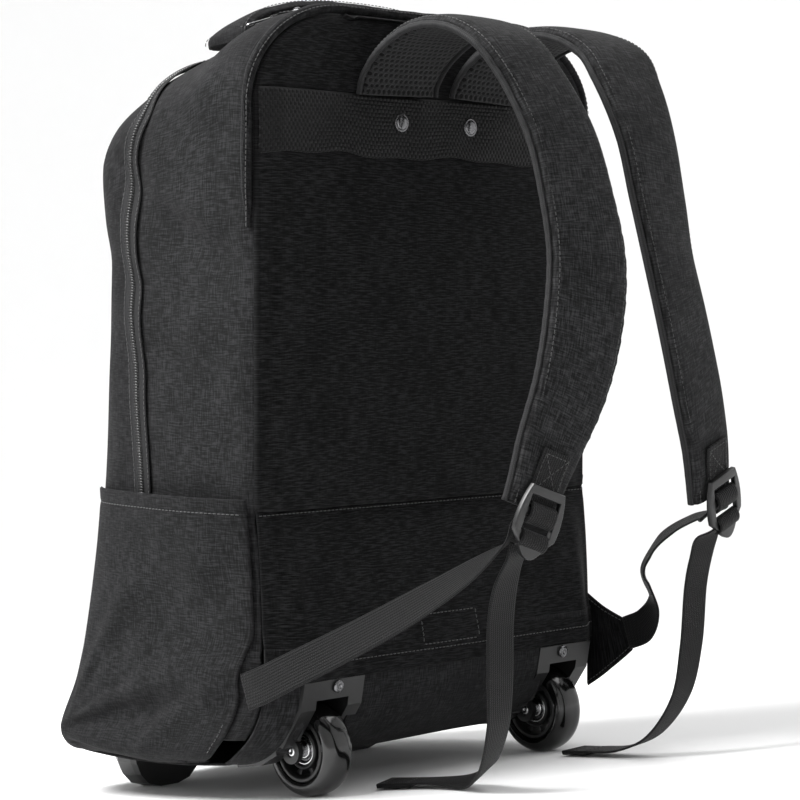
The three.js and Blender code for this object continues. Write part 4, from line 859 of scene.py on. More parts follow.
def lower_back():
    z = np.concatenate([np.linspace(195.5, 186, 14), np.linspace(185, 96, 76), np.linspace(95, HEM_HEIGHT, 16)])
    across = np.linspace(-1, 1, 150)
    X = np.repeat(PANEL_HALF * 0.996 * across[None], len(z), 0)
    Z = np.repeat(z[:, None], len(across), 1)
    over = 3.2 * (1 - ease(93, 115, Z))
    inside = (1 - ease(0.9, 1, np.abs(across)))[None] * ease(194, 180, Z)
    free = inside * ease(84, 104, Z)
    sag = 1.5 * ripple(71, X / 58, Z / 30) + 0.6 * ripple(72, (X + Z) / 19, Z / 14)
    gathers = 0.8 * np.sin(X / 7.5 + 1.1 * np.sin(X / 31)) * np.exp(-((Z - 186) / 7) ** 2)
    hem = 0.5 * (1 - ease(92.2, 93.5, Z)) - 0.5 * np.exp(-((Z - 92.4) / 1.1) ** 2)
    wave = 0.9 * np.sin(X / 23 + 0.7) * (1 - ease(84, 110, Z))
    above = SEAT + SKIN + over + free * sag + inside * gathers + hem + 0.25 * wave
    top_tuck = -1.6 * (1 - ease(0, 4, 195.5 - Z))
    grid = under_body(X, Z, np.maximum(above + top_tuck, SEAT + SKIN * 0.6))
    obj = cloth("lower_back_cloth", grid, 2.0, outward=(0, 160, 130))
    finish_piece(obj, PANEL, nodes=("lower_back_panel",))
    n = grid_normals(grid)
    n = n * np.sign(-np.mean(n[..., 1]))
    row_hem = np.argmin(np.abs(z - 92.4))
    seams.append((grid[row_hem] + n[row_hem] * 0.25, n[row_hem]))
    row_top = np.argmin(np.abs(z - 191))
    seams.append((grid[row_top] + n[row_top] * 0.25, n[row_top]))
    col = lambda x: int(np.argmin(np.abs(X[0] - x)))
    lines = []
    for a, b in ((-31.5, 22.0),):
        i0, i1 = np.argmin(np.abs(z - 116)), np.argmin(np.abs(z - 96.5))
        lines += [(grid[i0, col(a):col(b)], n[i0, col(a):col(b)]), (grid[i1, col(a):col(b)], n[i1, col(a):col(b)]),
                  (grid[i0:i1, col(a)], n[i0:i1, col(a)]), (grid[i0:i1, col(b)], n[i0:i1, col(b)])]
    seams.extend((p + q * 0.2, q) for p, q in lines)


def base_cloth():
    back_z = np.concatenate([np.linspace(104, 64, 26), np.linspace(63, 30, 24), np.linspace(29.3, 23.2, 8)])
    across = np.linspace(-1, 1, 190)
    half0 = np.abs(outline(np.where(back_z > 64, side_place(back_z), 0.72), 0.0)[0])
    low = [outline(p, 0.0) for p in np.linspace(0.72, BASE, 60)]
    lx, lz = np.array([q[0] for q in low]), np.array([q[1] for q in low])
    half0 = np.where(back_z > 64, half0, np.interp(-back_z, -lz, lx))
    X = half0[:, None] * across
    Z = np.repeat(back_z[:, None], len(across), 1)
    soft = 0.5 * ripple(81, X / 30, Z / 22)
    part_one = under_body(X, Z, SEAT + SKIN + soft * ease(104, 90, Z))
    share = np.linspace(0.03, 0.94, 60)
    s = section(share)
    edge = np.abs(across) > 0.999
    half = (s["half"] - 14 - 1.2)
    X2 = half[:, None] * across
    y2 = body(np.ones_like(share), share)[:, 1]
    z2 = s["base"]
    lift = SEAT + SKIN + 0.8 * ripple(82, X2 / 40, y2[:, None] / 26)
    part_two = np.stack(np.broadcast_arrays(X2, y2[:, None], z2[:, None] - lift), -1)
    grid = np.concatenate([part_one, part_two])
    rows, cols = grid.shape[:2]
    inside = (np.abs(np.abs(grid[..., 0]) - WHEEL_X) < 18.8) & (grid[..., 1] < 41.3) & (grid[..., 2] < 75.3)
    faces = [f for f in grid_faces(rows, cols) if not all(inside.reshape(-1)[k] for k in f)]
    uv = grid_uv(grid).reshape(-1, 2)
    obj = new_object("base_cloth", grid.reshape(-1, 3), faces, uv)
    turn_out(obj)
    drop_loose(obj)
    mod = obj.modifiers.new("Thickness", "SOLIDIFY")
    mod.thickness = 0.0018
    mod.offset = -1
    return finish_piece(obj, CLOTH, nodes=("base_wrap",))


def drop_loose(obj):
    import bmesh
    bm = bmesh.new()
    bm.from_mesh(obj.data)
    bmesh.ops.delete(bm, geom=[v for v in bm.verts if not v.link_faces], context="VERTS")
    bm.to_mesh(obj.data)
    bm.free()


def skin_frames(share, low, high, above, count):
    u = np.linspace(low, high, count)
    v = np.full(count, float(share))
    at = on_body(u, v, above, True)
    out = body_out(u, v)
    through = body(u, v + 0.01) - body(u, v - 0.01)
    across = unit(through - out * np.sum(through * out, -1, keepdims=True))
    run = np.cross(across, out)
    step = np.linalg.norm(np.diff(at, axis=0), axis=1)
    return {"at": at, "run": run, "across": across, "out": out, "scale": np.ones(count),
            "even": np.concatenate([[0], np.cumsum(step)])}


def back_welt():
    end = BREAKS["waist"]
    f = skin_frames(0.02, -end, end, SEAT, 520)
    angle = np.linspace(0, 2 * math.pi, 15)[:-1]
    wobble = 1 + 0.05 * ripple(91, f["even"] / 9)
    ring = np.stack([3.6 * np.cos(angle), 3.6 * (1 + np.sin(angle))], -1)
    profile = ring[None] * wobble[:, None, None]
    groove = 0.55 * np.exp(-((np.degrees(angle) - 118) / 16) ** 2)
    profile = profile - groove[None, :, None] * np.stack([np.cos(angle), np.sin(angle)], -1)[None]
    taper = ease(0, 30, f["even"]) * ease(0, 30, f["even"][-1] - f["even"])
    profile = profile * (0.35 + 0.65 * taper)[:, None, None]
    obj = swept("back_welt_cloth", f, profile)
    finish_piece(obj, CLOTH, nodes=("back_welt",))
    lift = 3.6 * (1 + math.sin(math.radians(118)))
    path = f["at"] + f["across"] * 3.6 * math.cos(math.radians(118)) + f["out"] * (lift - 0.1)
    seams.append((path, f["out"]))


# Zips

def zip_piece(word, share, low, high, above, wide, count, node, edge_stitch):
    f = skin_frames(share, low, high, above, count)
    tape = swept(f"{word}_tape", f, strip_profile(wide, 0.9, 12))
    finish_piece(tape, TAPE, nodes=(node,))
    # coil: a close row of loops on each side of the middle line
    pitch = 1.9
    length = f["even"][-1]
    n = int(length / pitch)
    where = (np.arange(n) + 0.5) * pitch
    read = lambda values: np.stack([np.interp(where, f["even"], values[:, k]) for k in range(3)], -1)
    at, across, out = read(f["at"]), unit(read(f["across"])), unit(read(f["out"]))
    run = np.cross(across, out)
    points, faces = [], []
    shape = [(-2.3, 0.2), (-1.7, 1.15), (0, 1.55), (1.7, 1.15), (2.3, 0.2)]
    k = len(shape)
    for m in range(n):
        base = len(points)
        for a, o in shape:
            for w, h in ((-0.62, -0.3), (0.0, 0.35), (0.62, -0.3)):
                points.append(at[m] + across[m] * a + out[m] * (0.9 + o + h) + run[m] * (w + 0.25 * a / 2.3))
        for i in range(k - 1):
            for j in range(2):
                p = base + i * 3 + j
                faces.append([p, p + 1, p + 4, p + 3])
    coil = new_object(f"{word}_coil", np.array(points), faces)
    finish_piece(coil, COIL)
    for away in edge_stitch:
        seams.append((f["at"] + f["across"] * away + f["out"] * 1.0, f["out"]))
    return f


def slider(word, f, where, node, length=11.0):
    i = int(np.argmin(np.abs(f["even"] - where)))
    at, across, out = f["at"][i], f["across"][i], f["out"][i]
    run = np.cross(across, out)
    base = at + out * 2.1
    t = np.linspace(-1, 1, 13)
    half = 3.9 - 0.9 * np.abs(t) ** 3 + 0.5 * (t > 0.2) * (1 - np.abs(t))
    ring = [(-1, 0), (-0.92, 1.9), (-0.5, 2.9), (0.5, 2.9), (0.92, 1.9), (1, 0)]
    pts = [base + run * s * length / 2 + across * a * h + out * (b * (1 - 0.25 * abs(s) ** 4))
           for s, h in zip(t, half) for a, b in ring]
    faces = grid_faces(len(t), len(ring), wrap=True) + [list(range(len(ring))),
                                                       list(range(len(pts) - len(ring), len(pts)))]
    obj = new_object(f"{word}_body", np.array(pts), faces)
    turn_out(obj)
    bevel(obj, 0.5)
    finish_piece(obj, DARK_METAL, nodes=(node,))
    arch = [base + run * s * 3.6 + out * (2.6 + 2.6 * math.cos(s * math.pi / 2) ** 0.5) for s in np.linspace(-1, 1, 15)]
    tube(f"{word}_bridge", arch, 0.85, DARK_METAL)
    return base + out * 4.0, run, across, out


def tube(name, points, radius, finish, sides=10, body_name="bag", nodes=()):
    points = np.asarray(points, float)
    run = unit(np.gradient(points, axis=0))
    ref = np.array([0.31, 0.2, 0.93])
    side = unit(np.cross(run, ref))
    up = np.cross(side, run)
    a = np.linspace(0, 2 * math.pi, sides + 1)[:-1]
    r = np.broadcast_to(np.asarray(radius, float), (len(points),))
    ring = (points[:, None] + side[:, None] * np.cos(a)[None, :, None] * r[:, None, None]
            + up[:, None] * np.sin(a)[None, :, None] * r[:, None, None])
    faces = grid_faces(len(points), sides, wrap=True) + [list(range(sides)),
                                                       list(range((len(points) - 1) * sides, len(points) * sides))]
    obj = new_object(name, ring.reshape(-1, 3), faces)
    turn_out(obj)
    return finish_piece(obj, finish, body_name, nodes)


def zips():
    main_share = ZIP_SHARE * 40 / 112
    end = float(arch_place(112.0, main_share))
    f = zip_piece("main_zip", main_share, -end, end, SEAT, 17, 380, "main_zip", (-7.4, 7.4))
    seam_groove = skin_frames(main_share, -end, end, SEAT, 380)
    for away in (-10.6, 10.6):
        seams.append((seam_groove["at"] + seam_groove["across"] * away + seam_groove["out"] * -0.3,
                      seam_groove["out"]))
    where = np.interp(-86.2, f["at"][:, 0], f["even"])
    ring_at, run, across, out = slider("main_slider", f, where, "main_slider")
    pull_run = unit([-0.6, 0.22, -0.2])
    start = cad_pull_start(f, where)
    pull(start, pull_run, out)
    low = float(side_place(POCKET_HEIGHT - 5))
    g = zip_piece("front_zip", ZIP_SHARE, -low, low, 2 * SEAT, 17, 700, "front_zip", (-7.4, 7.4))
    where = np.interp(float(side_place(POCKET_HEIGHT + 60)), np.linspace(-low, low, 700), g["even"])
    slider("front_slider", g, where, "front_slider")


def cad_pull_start(f, where):
    i = int(np.argmin(np.abs(f["even"] - where)))
    pull_run = unit([-0.6, 0.22, -0.2])
    return f["at"][i] + pull_run * 6.8 + f["out"][i] * (1.8 + 0.6 + 3.3)


def pull(start, run, out):
    across = unit(np.cross(out, run))
    up = np.cross(run, across)
    t = np.linspace(0, 1, 26)
    half = 1.5 + 0.9 * np.sin(math.pi * np.clip((t - 0.1) / 1.0, 0, 1)) + 0.5 * ease(0.75, 1, t)
    half = half * np.sqrt(np.clip(1 - ((t - 0.93) / 0.07) ** 2 * (t > 0.93), 0.05, 1))
    half = half * np.sqrt(np.clip(1 - ((0.05 - t) / 0.05) ** 2 * (t < 0.05), 0.1, 1))
    section_ring = [(-1, 0.0), (-0.6, 0.62), (0.6, 0.62), (1, 0.0), (0.6, -0.62), (-0.6, -0.62)]
    pts = [start + run * s * 33 + across * a * h + up * b for s, h in zip(t, half) for a, b in section_ring]
    faces = grid_faces(len(t), 6, wrap=True) + [list(range(6)), list(range(len(pts) - 6, len(pts)))]
    obj = new_object("main_pull", np.array(pts), faces)
    turn_out(obj)
    subdivide(obj, 1)
    finish_piece(obj, STEEL, nodes=("main_slider_pull",))
    back = start - run * 7.5
    link = [back + run * (4.6 - 4.6 * math.cos(a)) + across * 2.0 * math.sin(a) for a in np.linspace(0, 2 * math.pi, 24)]
    tube("main_pull_link", link, 0.55, STEEL, 8)


# Straps

def pad_ring(width, thick, rise, columns=17, edge=0.3):
    """Section of a pad: nearly flat below, crowned above, with a seam at each edge."""
    t = np.linspace(-1, 1, columns)
    low = np.stack([t * width / 2, np.full(columns, rise) + 0.0 * t], -1)
    crown = thick * (edge + (1 - edge) * (1 - np.abs(t) ** 3.2) ** 0.55)
    high = np.stack([t * width / 2, rise + crown], -1)[::-1]
    return np.concatenate([low, high[1:-1]])


HANDLE = [(-1.0, 0.0), (-0.97, 0.3), (-0.84, 0.6), (-0.5, 0.9), (0.0, 1.0), (0.5, 0.9), (0.84, 0.6), (0.97, 0.3),
          (1.0, 0.0)]


def grab_handle():
    share = ZIP_SHARE * 95 / 112
    place = float(arch_place(102.0, share))
    foot = on_body(place, share, 6 * SEAT + 2.4)
    across = body(place, share + 0.1) - body(place, share - 0.1)
    across[0] = 0
    across = unit(across)
    stations = [[along * 102, foot[1], foot[2] + up * 25] for along, up in HANDLE]
    f = frames_along(stations, [across] * len(stations), 150)
    if np.mean(f["out"][:, 2]) < 0:
        f["out"] = -f["out"]
    share_along = np.linspace(-1, 1, 150)
    puff = 1 + 0.06 * ripple(101, share_along * 7) - 0.35 * np.exp(-((np.abs(share_along) - 0.995) / 0.03) ** 2)
    ring = pad_ring(52, 8, 0)
    profile = ring[None] * np.stack([np.ones(150), puff], -1)[:, None]
    profile[..., 1] += 0.35 * ripple(102, share_along[:, None] * 24, ring[None, :, 0] / 12) * (ring[None, :, 1] > 1)
    pad = swept("grab_handle_pad", f, profile)
    finish_piece(pad, CLOTH, nodes=("grab_handle",))
    subdivide(pad, 1)
    lining = swept("grab_handle_lining", f, pad_ring(50, 2.3, 0, 15)[:, ::1] * [1, -1] + [0, -0.6])
    finish_piece(lining, MESH, nodes=("grab_handle_mesh",))
    subdivide(lining, 1)
    for side in (-1, 1):
        seams.append((f["at"] + f["across"] * side * 22.5 + f["out"] * (8 * 0.72 + 0.2), f["out"]))
    # seams across it where it is sewn down
    for end in (5, 144):
        path = np.array([f["at"][end] + f["across"][end] * a + f["out"][end] * 6.6 for a in np.linspace(-21, 21, 12)])
        seams.append((path, np.repeat(f["out"][end][None], 12, 0)))


STRAP = np.array([
    # back, aside, up, wide, turn
    [0, 0.49, 0.842, 1.22, 0], [0.012, 0.493, 0.868, 1.22, 0], [0.0894, 0.5, 0.917, 1.22, 0],
    [0.267, 0.524, 0.964, 1.2, 0], [0.466, 0.555, 0.966, 1.17, 0], [0.63, 0.575, 0.927, 1.12, -2],
    [0.728, 0.531, 0.863, 1.05, -1], [0.85, 0.47, 0.743, 1, 4], [0.918, 0.444, 0.621, 1, 7],
    [0.97, 0.451, 0.498, 1, 11], [0.997, 0.544, 0.376, 1, 11], [1, 0.68, 0.254, 0.95, 10],
    [0.976, 0.862, 0.131, 0.84, 9], [0.943, 1, 0.015, 0.72, 6],
])
PAD_HALF = (7.5 + 2.4) / 2
BUCKLE_LENGTH = 45.0
BUCKLE_WIDTH = 36.0


def strap_frames(side, count=210):
    root = -2.6 - PAD_HALF - 0.3 - SEAT
    stations = [[side * aside * 91.6, root - back * 176, 197 + (PANEL_TOP - 197) * up]
                for back, aside, up, wide, turn in STRAP]
    acrosses = [[math.cos(math.radians(turn)), side * math.sin(math.radians(turn)), 0] for turn in STRAP[:, 4]]
    f = frames_along(stations, acrosses, count, STRAP[:, 3])
    f["run"] = np.cross(f["across"], f["out"])
    return f


def strap(side, word):
    f = strap_frames(side)
    count = len(f["at"])
    t = np.linspace(0, 1, count)
    ring = pad_ring(60, 7.5, 3.0 - PAD_HALF, 21, 0.34)
    puff = 1 + 0.05 * ripple(111 + int(side), t * 16) - 0.3 * np.exp(-((t - 0.992) / 0.012) ** 2)
    high = ring[None, :, 1] > 3.2 - PAD_HALF
    profile = np.repeat(ring[None], count, 0)
    profile[..., 1] = np.where(high, 3.0 - PAD_HALF + (ring[None, :, 1] - 3.0 + PAD_HALF) * puff[:, None], ring[None, :, 1])
    lumps = 0.45 * ripple(113 + int(side), t[:, None] * 30, ring[None, :, 0] / 14)
    profile[..., 1] += np.where(high, lumps * (1 - (np.abs(ring[None, :, 0]) / 30) ** 6), 0)
    pad = swept(f"strap_pad_{word}", f, profile)
    finish_piece(pad, STRAP_CLOTH, nodes=(f"strap_{word}",))
    under = pad_ring(57, 2.5, 0, 21, 0.45) * [1, -1] + [0, 2.5 - PAD_HALF - 0.05]
    lining = swept(f"strap_lining_{word}", f, under)
    finish_piece(lining, MESH, nodes=(f"strap_mesh_{word}",))
    # edge binding, folded over the seam between pad and lining
    for edge in (-1, 1):
        half = 30.0 * f["scale"]
        ruffle = 0.35 * np.sin(f["even"] / 1.9) + 0.25 * np.sin(f["even"] / 0.97 + 1)
        centre = f["at"] + f["across"] * (edge * (half - 0.3 + ruffle * 0.5))[:, None] + f["out"] * (2.6 - PAD_HALF)
        angle = np.linspace(0, 2 * math.pi, 11)[:-1]
        ring2 = np.stack([1.5 * np.cos(angle), 2.5 * np.sin(angle)], -1)
        g = dict(f, at=centre + f["out"] * (ruffle * 0.25)[:, None], scale=np.ones(count))
        bind = swept(f"strap_binding_{word}_{'inner' if edge * side < 0 else 'outer'}", g, ring2)
        finish_piece(bind, BINDING)
        seams.append((f["at"] + f["across"] * (edge * (half - 4.2))[:, None] + f["out"] * (3.0 - PAD_HALF + 7.5 * 0.7), f["out"]))
    end = {k: f[k][-1] for k in ("at", "run", "across", "out")}
    face = 7.5 + 2.4 + 0.6 - PAD_HALF
    patch(word, f, face, end)
    rise = face + SEAT + 1.5 + 0.3
    centre = end["at"] + end["run"] * BUCKLE_LENGTH * 0.16 + end["out"] * rise
    buckle(word, centre, end)
    return centre, end


def patch(word, f, face, end):
    """Webbing patch on the strap's end, in its own lie over the pad."""
    t = np.linspace(-0.85, 0.1, 34)
    at = end["at"] + end["run"] * (t * 46)[:, None]
    lift = face + SEAT + 1.2 * ease(-0.5, -0.85, t)
    fr = {"at": at + end["out"] * lift[:, None], "run": np.repeat(end["run"][None], 34, 0),
          "across": np.repeat(end["across"][None], 34, 0), "out": np.repeat(end["out"][None], 34, 0),
          "scale": np.ones(34), "even": (t + 0.85) * 46}
    obj = swept(f"strap_patch_webbing_{word}", fr, strip_profile(WEB, 1.5, 14))
    finish_piece(obj, WEBBING, nodes=(f"strap_patch_{word}",))
    spot = lambda a, b: end["at"] + end["run"] * b + end["across"] * a + end["out"] * (
        face + SEAT + 1.55 + 1.2 * float(ease(-0.5, -0.85, b / 46)))
    ring = [(-10, -36), (10, -36), (10, -12), (-10, -12), (-10, -36)]
    for path in (ring, [(-10, -36), (10, -12)], [(10, -36), (-10, -12)], [(-10, -9.6), (10, -9.6)]):
        pts = []
        for (a0, b0), (a1, b1) in zip(path[:-1], path[1:]):
            pts += [spot(a0 + (a1 - a0) * q, b0 + (b1 - b0) * q) for q in np.linspace(0, 1, 12)]
        seams.append((np.array(pts), np.repeat(end["out"][None], len(pts), 0)))


def buckle(word, centre, end):
    """Ladder buckle: a frame with two slots, rounded bars and a tongue."""
    import bmesh
    w, l = BUCKLE_WIDTH / 2, BUCKLE_LENGTH / 2

    def quad(p0, p1, p2, n=8):
        return [((1 - q) ** 2 * p0[0] + 2 * q * (1 - q) * p1[0] + q * q * p2[0],
                 (1 - q) ** 2 * p0[1] + 2 * q * (1 - q) * p1[1] + q * q * p2[1]) for q in np.linspace(0, 1, n)]

    contour = [(-w * 0.8, l), (w * 0.8, l)]
    contour += quad((w * 0.8, l), (w * 1.15, l * 0.3), (w, -l * 0.35))[1:]
    contour += quad((w * 0.62, -l * 0.62), (0, -l * 1.45), (-w * 0.62, -l * 0.62), 12)
    contour += quad((-w, -l * 0.35), (-w * 1.15, l * 0.3), (-w * 0.8, l))[:-1]
    curve = bpy.data.curves.new(f"buckle_shape_{word}", "CURVE")
    curve.dimensions = "2D"
    curve.fill_mode = "BOTH"
    loops = [contour]
    for high, low in ((0.74, 0.36), (0.14, -0.3)):
        loops.append([(-w * 0.72, l * low), (w * 0.72, l * low), (w * 0.72, l * high), (-w * 0.72, l * high)])
    for loop in loops:
        spline = curve.splines.new("POLY")
        spline.points.add(len(loop) - 1)
        for point, (x, y) in zip(spline.points, loop):
            point.co = (x, y, 0, 1)
        spline.use_cyclic_u = True
    curve.extrude = 1.25
    curve.bevel_depth = 0.75
    curve.bevel_resolution = 3
    curve.offset = -0.7
    shape = bpy.data.objects.new(f"buckle_shape_{word}", curve)
    bpy.context.scene.collection.objects.link(shape)
    mesh = bpy.data.meshes.new_from_object(shape.evaluated_get(bpy.context.evaluated_depsgraph_get()))
    bpy.data.objects.remove(shape)
    pts = np.array([v.co[:] for v in mesh.vertices])
    pts[:, 2] += 2.0
    bow = 1 - (pts[:, 0] / w) ** 2
    pts[:, 2] += 0.8 * bow * ease(-0.2, -1.0, pts[:, 1] / l)
    world = centre + pts[:, :1] * end["across"] - pts[:, 1:2] * end["run"] + pts[:, 2:] * end["out"]
    mesh.vertices.foreach_set("co", row(world).ravel())
    mesh.update()
    obj = bpy.data.objects.new(f"buckle_{word}_ladder", mesh)
    bpy.context.scene.collection.objects.link(obj)
    mesh.polygons.foreach_set("use_smooth", [True] * len(mesh.polygons))
    weld(obj, 0.01)
    turn_out(obj)
    mesh.set_sharp_from_angle(angle=math.radians(40))
    finish_piece(obj, PLASTIC, nodes=(f"buckle_{word}",))


LOWER_LEFT = [
    # at, across
    ((-167.5, 8, 75), (0, 0.3, 0.95)), ((-166.3, -5, 80), (0.02, 0.35, 0.93)), ((-160, -26, 91), (0.15, 0.35, 0.93)),
    ((-145, -60, 110), (0.25, 0.35, 0.9)), ((-129, -105, 136), (0.4, 0.35, 0.85)),
    ((-115, -145, 162), (0.7, 0.3, 0.65)), ((-104, -168, 181), (0.95, 0.1, 0.3)),
]
LOWER_RIGHT = [
    ((161, -44, 87), (0.1, 0.5, 0.86)), ((160, -62, 95), (0.1, 0.5, 0.86)), ((155, -75, 112), (0.5, 0.75, 0.4)),
    ((147, -72, 135), (0.7, 0.7, -0.1)), ((140, -88, 156), (0.8, 0.5, 0.3)), ((125, -125, 175), (0.9, 0.1, 0.4)),
    ((107, -164, 186), (0.95, -0.1, 0.2)),
]
TAIL_LEFT = [
    ((-101, -170, 172), (0.95, 0.1, 0.25)), ((-101, -162, 155), (0.97, 0.05, 0.1)), ((-97, -154, 130), (0.97, 0, 0)),
    ((-93, -150, 95), (1, 0, 0)), ((-87, -143, 62), (0.98, 0.15, 0)), ((-73, -120, 30), (0.9, 0.4, 0)),
    ((-62, -95, 17.5), (0.75, 0.55, 0.1)), ((-62, -62, 12), (0.93, 0.3, 0)), ((-74, -27, 8), (0.9, 0.4, 0)),
]
TAIL_RIGHT = [
    ((98, -166, 172), (0.95, -0.1, 0.2)), ((99, -160, 158), (0.97, 0, 0)), ((102, -153, 137), (1, 0, 0)),
    ((101, -150, 95), (1, 0, 0)), ((99, -143, 60), (1, 0.1, 0)), ((97, -122, 31), (0.97, 0.2, 0)),
    ((98, -95, 17.5), (0.95, 0.25, 0)), ((100, -68, 12.5), (0.95, 0.2, 0)), ((101, -44, 9.5), (0.95, 0.2, 0)),
]


def webbing(word, lower, tail, centre, end):
    behind = lambda down, back: centre + end["run"] * down * BUCKLE_LENGTH - end["out"] * back
    at = [p for p, _ in lower] + [behind(0.1, 6.6)]
    wide = [unit(a) for _, a in lower] + [end["across"]]
    f = frames_along(at, wide, 170)
    obj = swept(f"webbing_{word}_web", f, strip_profile(WEB, 1.5, 16))
    finish_piece(obj, WEBBING, nodes=(f"webbing_{word}",))
    at = [behind(0.34, 3.2)] + [p for p, _ in tail]
    wide = [end["across"]] + [unit(a) for _, a in tail]
    f = frames_along(at, wide, 210)
    profile = np.repeat(strip_profile(WEB, 1.5, 16)[None], 210, 0)
    back_along = f["even"][-1] - f["even"]
    fold = ease(26, 24.5, back_along)[:, None] * 1.6
    profile[..., 1] = np.where(profile[..., 1] > 0.9, profile[..., 1] + fold, profile[..., 1])
    obj = swept(f"strap_tail_{word}_web", f, profile)
    finish_piece(obj, WEBBING, nodes=(f"strap_tail_{word}",))
    for back in (4.0, 21.5):
        i = int(np.argmin(np.abs(back_along - back)))
        for face in (1, -1):
            height = 3.15 if face > 0 else -0.05
            path = np.array([f["at"][i] + f["across"][i] * a + f["out"][i] * height for a in np.linspace(-10.5, 10.5, 14)])
            seams.append((path, np.repeat(face * f["out"][i][None], 14, 0)))
    # the turns of webbing that pass through the buckle's slots
    l = BUCKLE_LENGTH / 2
    for name, slot_at, span in (("upper", 0.24 * l + 0.0, 5.6), ("lower", -0.5 * l, 4.4)):
        angle = np.linspace(-0.15, math.pi + 0.15, 40)
        y = slot_at + span * np.cos(angle)
        h = 1.6 + 3.4 * np.sin(angle)
        base = centre[None] - end["run"][None] * y[:, None] + end["out"][None] * h[:, None]
        tangent = unit(np.gradient(base, axis=0))
        g = {"at": base, "run": tangent, "across": np.repeat(end["across"][None], 40, 0),
             "out": np.cross(tangent, np.repeat(end["across"][None], 40, 0)), "scale": np.ones(40),
             "even": np.concatenate([[0], np.cumsum(np.linalg.norm(np.diff(base, axis=0), axis=1))])}
        if np.dot(g["out"][20], end["out"]) < 0:
            g["out"] = -g["out"]
        wrap = swept(f"buckle_wrap_{name}_{word}", g, strip_profile(24, 1.5, 14))
        finish_piece(wrap, WEBBING)


def anchor_tab():
    edge = under_body(np.array(PANEL_HALF), np.array(HEM_HEIGHT), 3.2 + SEAT + SKIN)
    root = np.array([PANEL_HALF + 0.4, edge[1] + 5.0, HEM_HEIGHT - 4])
    tip = np.array(LOWER_RIGHT[0][0], float)
    up = unit(LOWER_RIGHT[0][1])
    t = np.linspace(0, 0.97, 46)
    width = np.interp(t, [0, 0.5, 0.97], [70, 70 + (27 - 70) * 0.55, 27])
    at = root + (tip - root) * t[:, None]
    across = unit(np.array([0, 0, 1.0]) * (1 - t[:, None]) + up * t[:, None])
    f = {"at": at, "run": np.repeat(unit(tip - root)[None], 46, 0), "across": across,
         "out": np.repeat(np.array([[1.0, 0, 0]]), 46, 0), "scale": width / WEB,
         "even": t * np.linalg.norm(tip - root)}
    profile = np.repeat(strip_profile(WEB, 2.0, 18)[None], 46, 0)
    obj = swept("anchor_tab_cloth", f, profile)
    finish_piece(obj, PANEL, nodes=("anchor_tab_right",))
    for edge_side in (-1, 1):
        for face, h in ((1, 2.1), (-1, -0.1)):
            path = at + across * (edge_side * (width / 2 - 3.2))[:, None] + np.array([[h, 0, 0]])
            seams.append((path, np.repeat(np.array([[face, 0, 0.0]]), 46, 0)))


# Wheels, housings and feet

def turned(name, profile, x, sides, finish, body_name, nodes=()):
    """A ring turned about a wheel's axis; profile: radius, along."""
    profile = np.asarray(profile, float)
    angle = np.linspace(0, 2 * math.pi, sides + 1)[:-1]
    r, along = profile[:, 0], profile[:, 1]
    pts = np.stack([x + along[None] + 0 * angle[:, None], WHEEL_SETBACK + r[None] * np.cos(angle)[:, None],
                    WHEEL_RADIUS + r[None] * np.sin(angle)[:, None]], -1)
    k = len(profile)
    i, j = np.meshgrid(np.arange(sides), np.arange(k), indexing="ij")
    a = i * k + j
    b = i * k + (j + 1) % k
    c = ((i + 1) % sides) * k + (j + 1) % k
    d = ((i + 1) % sides) * k + j
    obj = new_object(name, pts.reshape(-1, 3), np.stack([a, b, c, d], -1).reshape(-1, 4).tolist())
    turn_out(obj)
    return finish_piece(obj, finish, body_name, nodes)


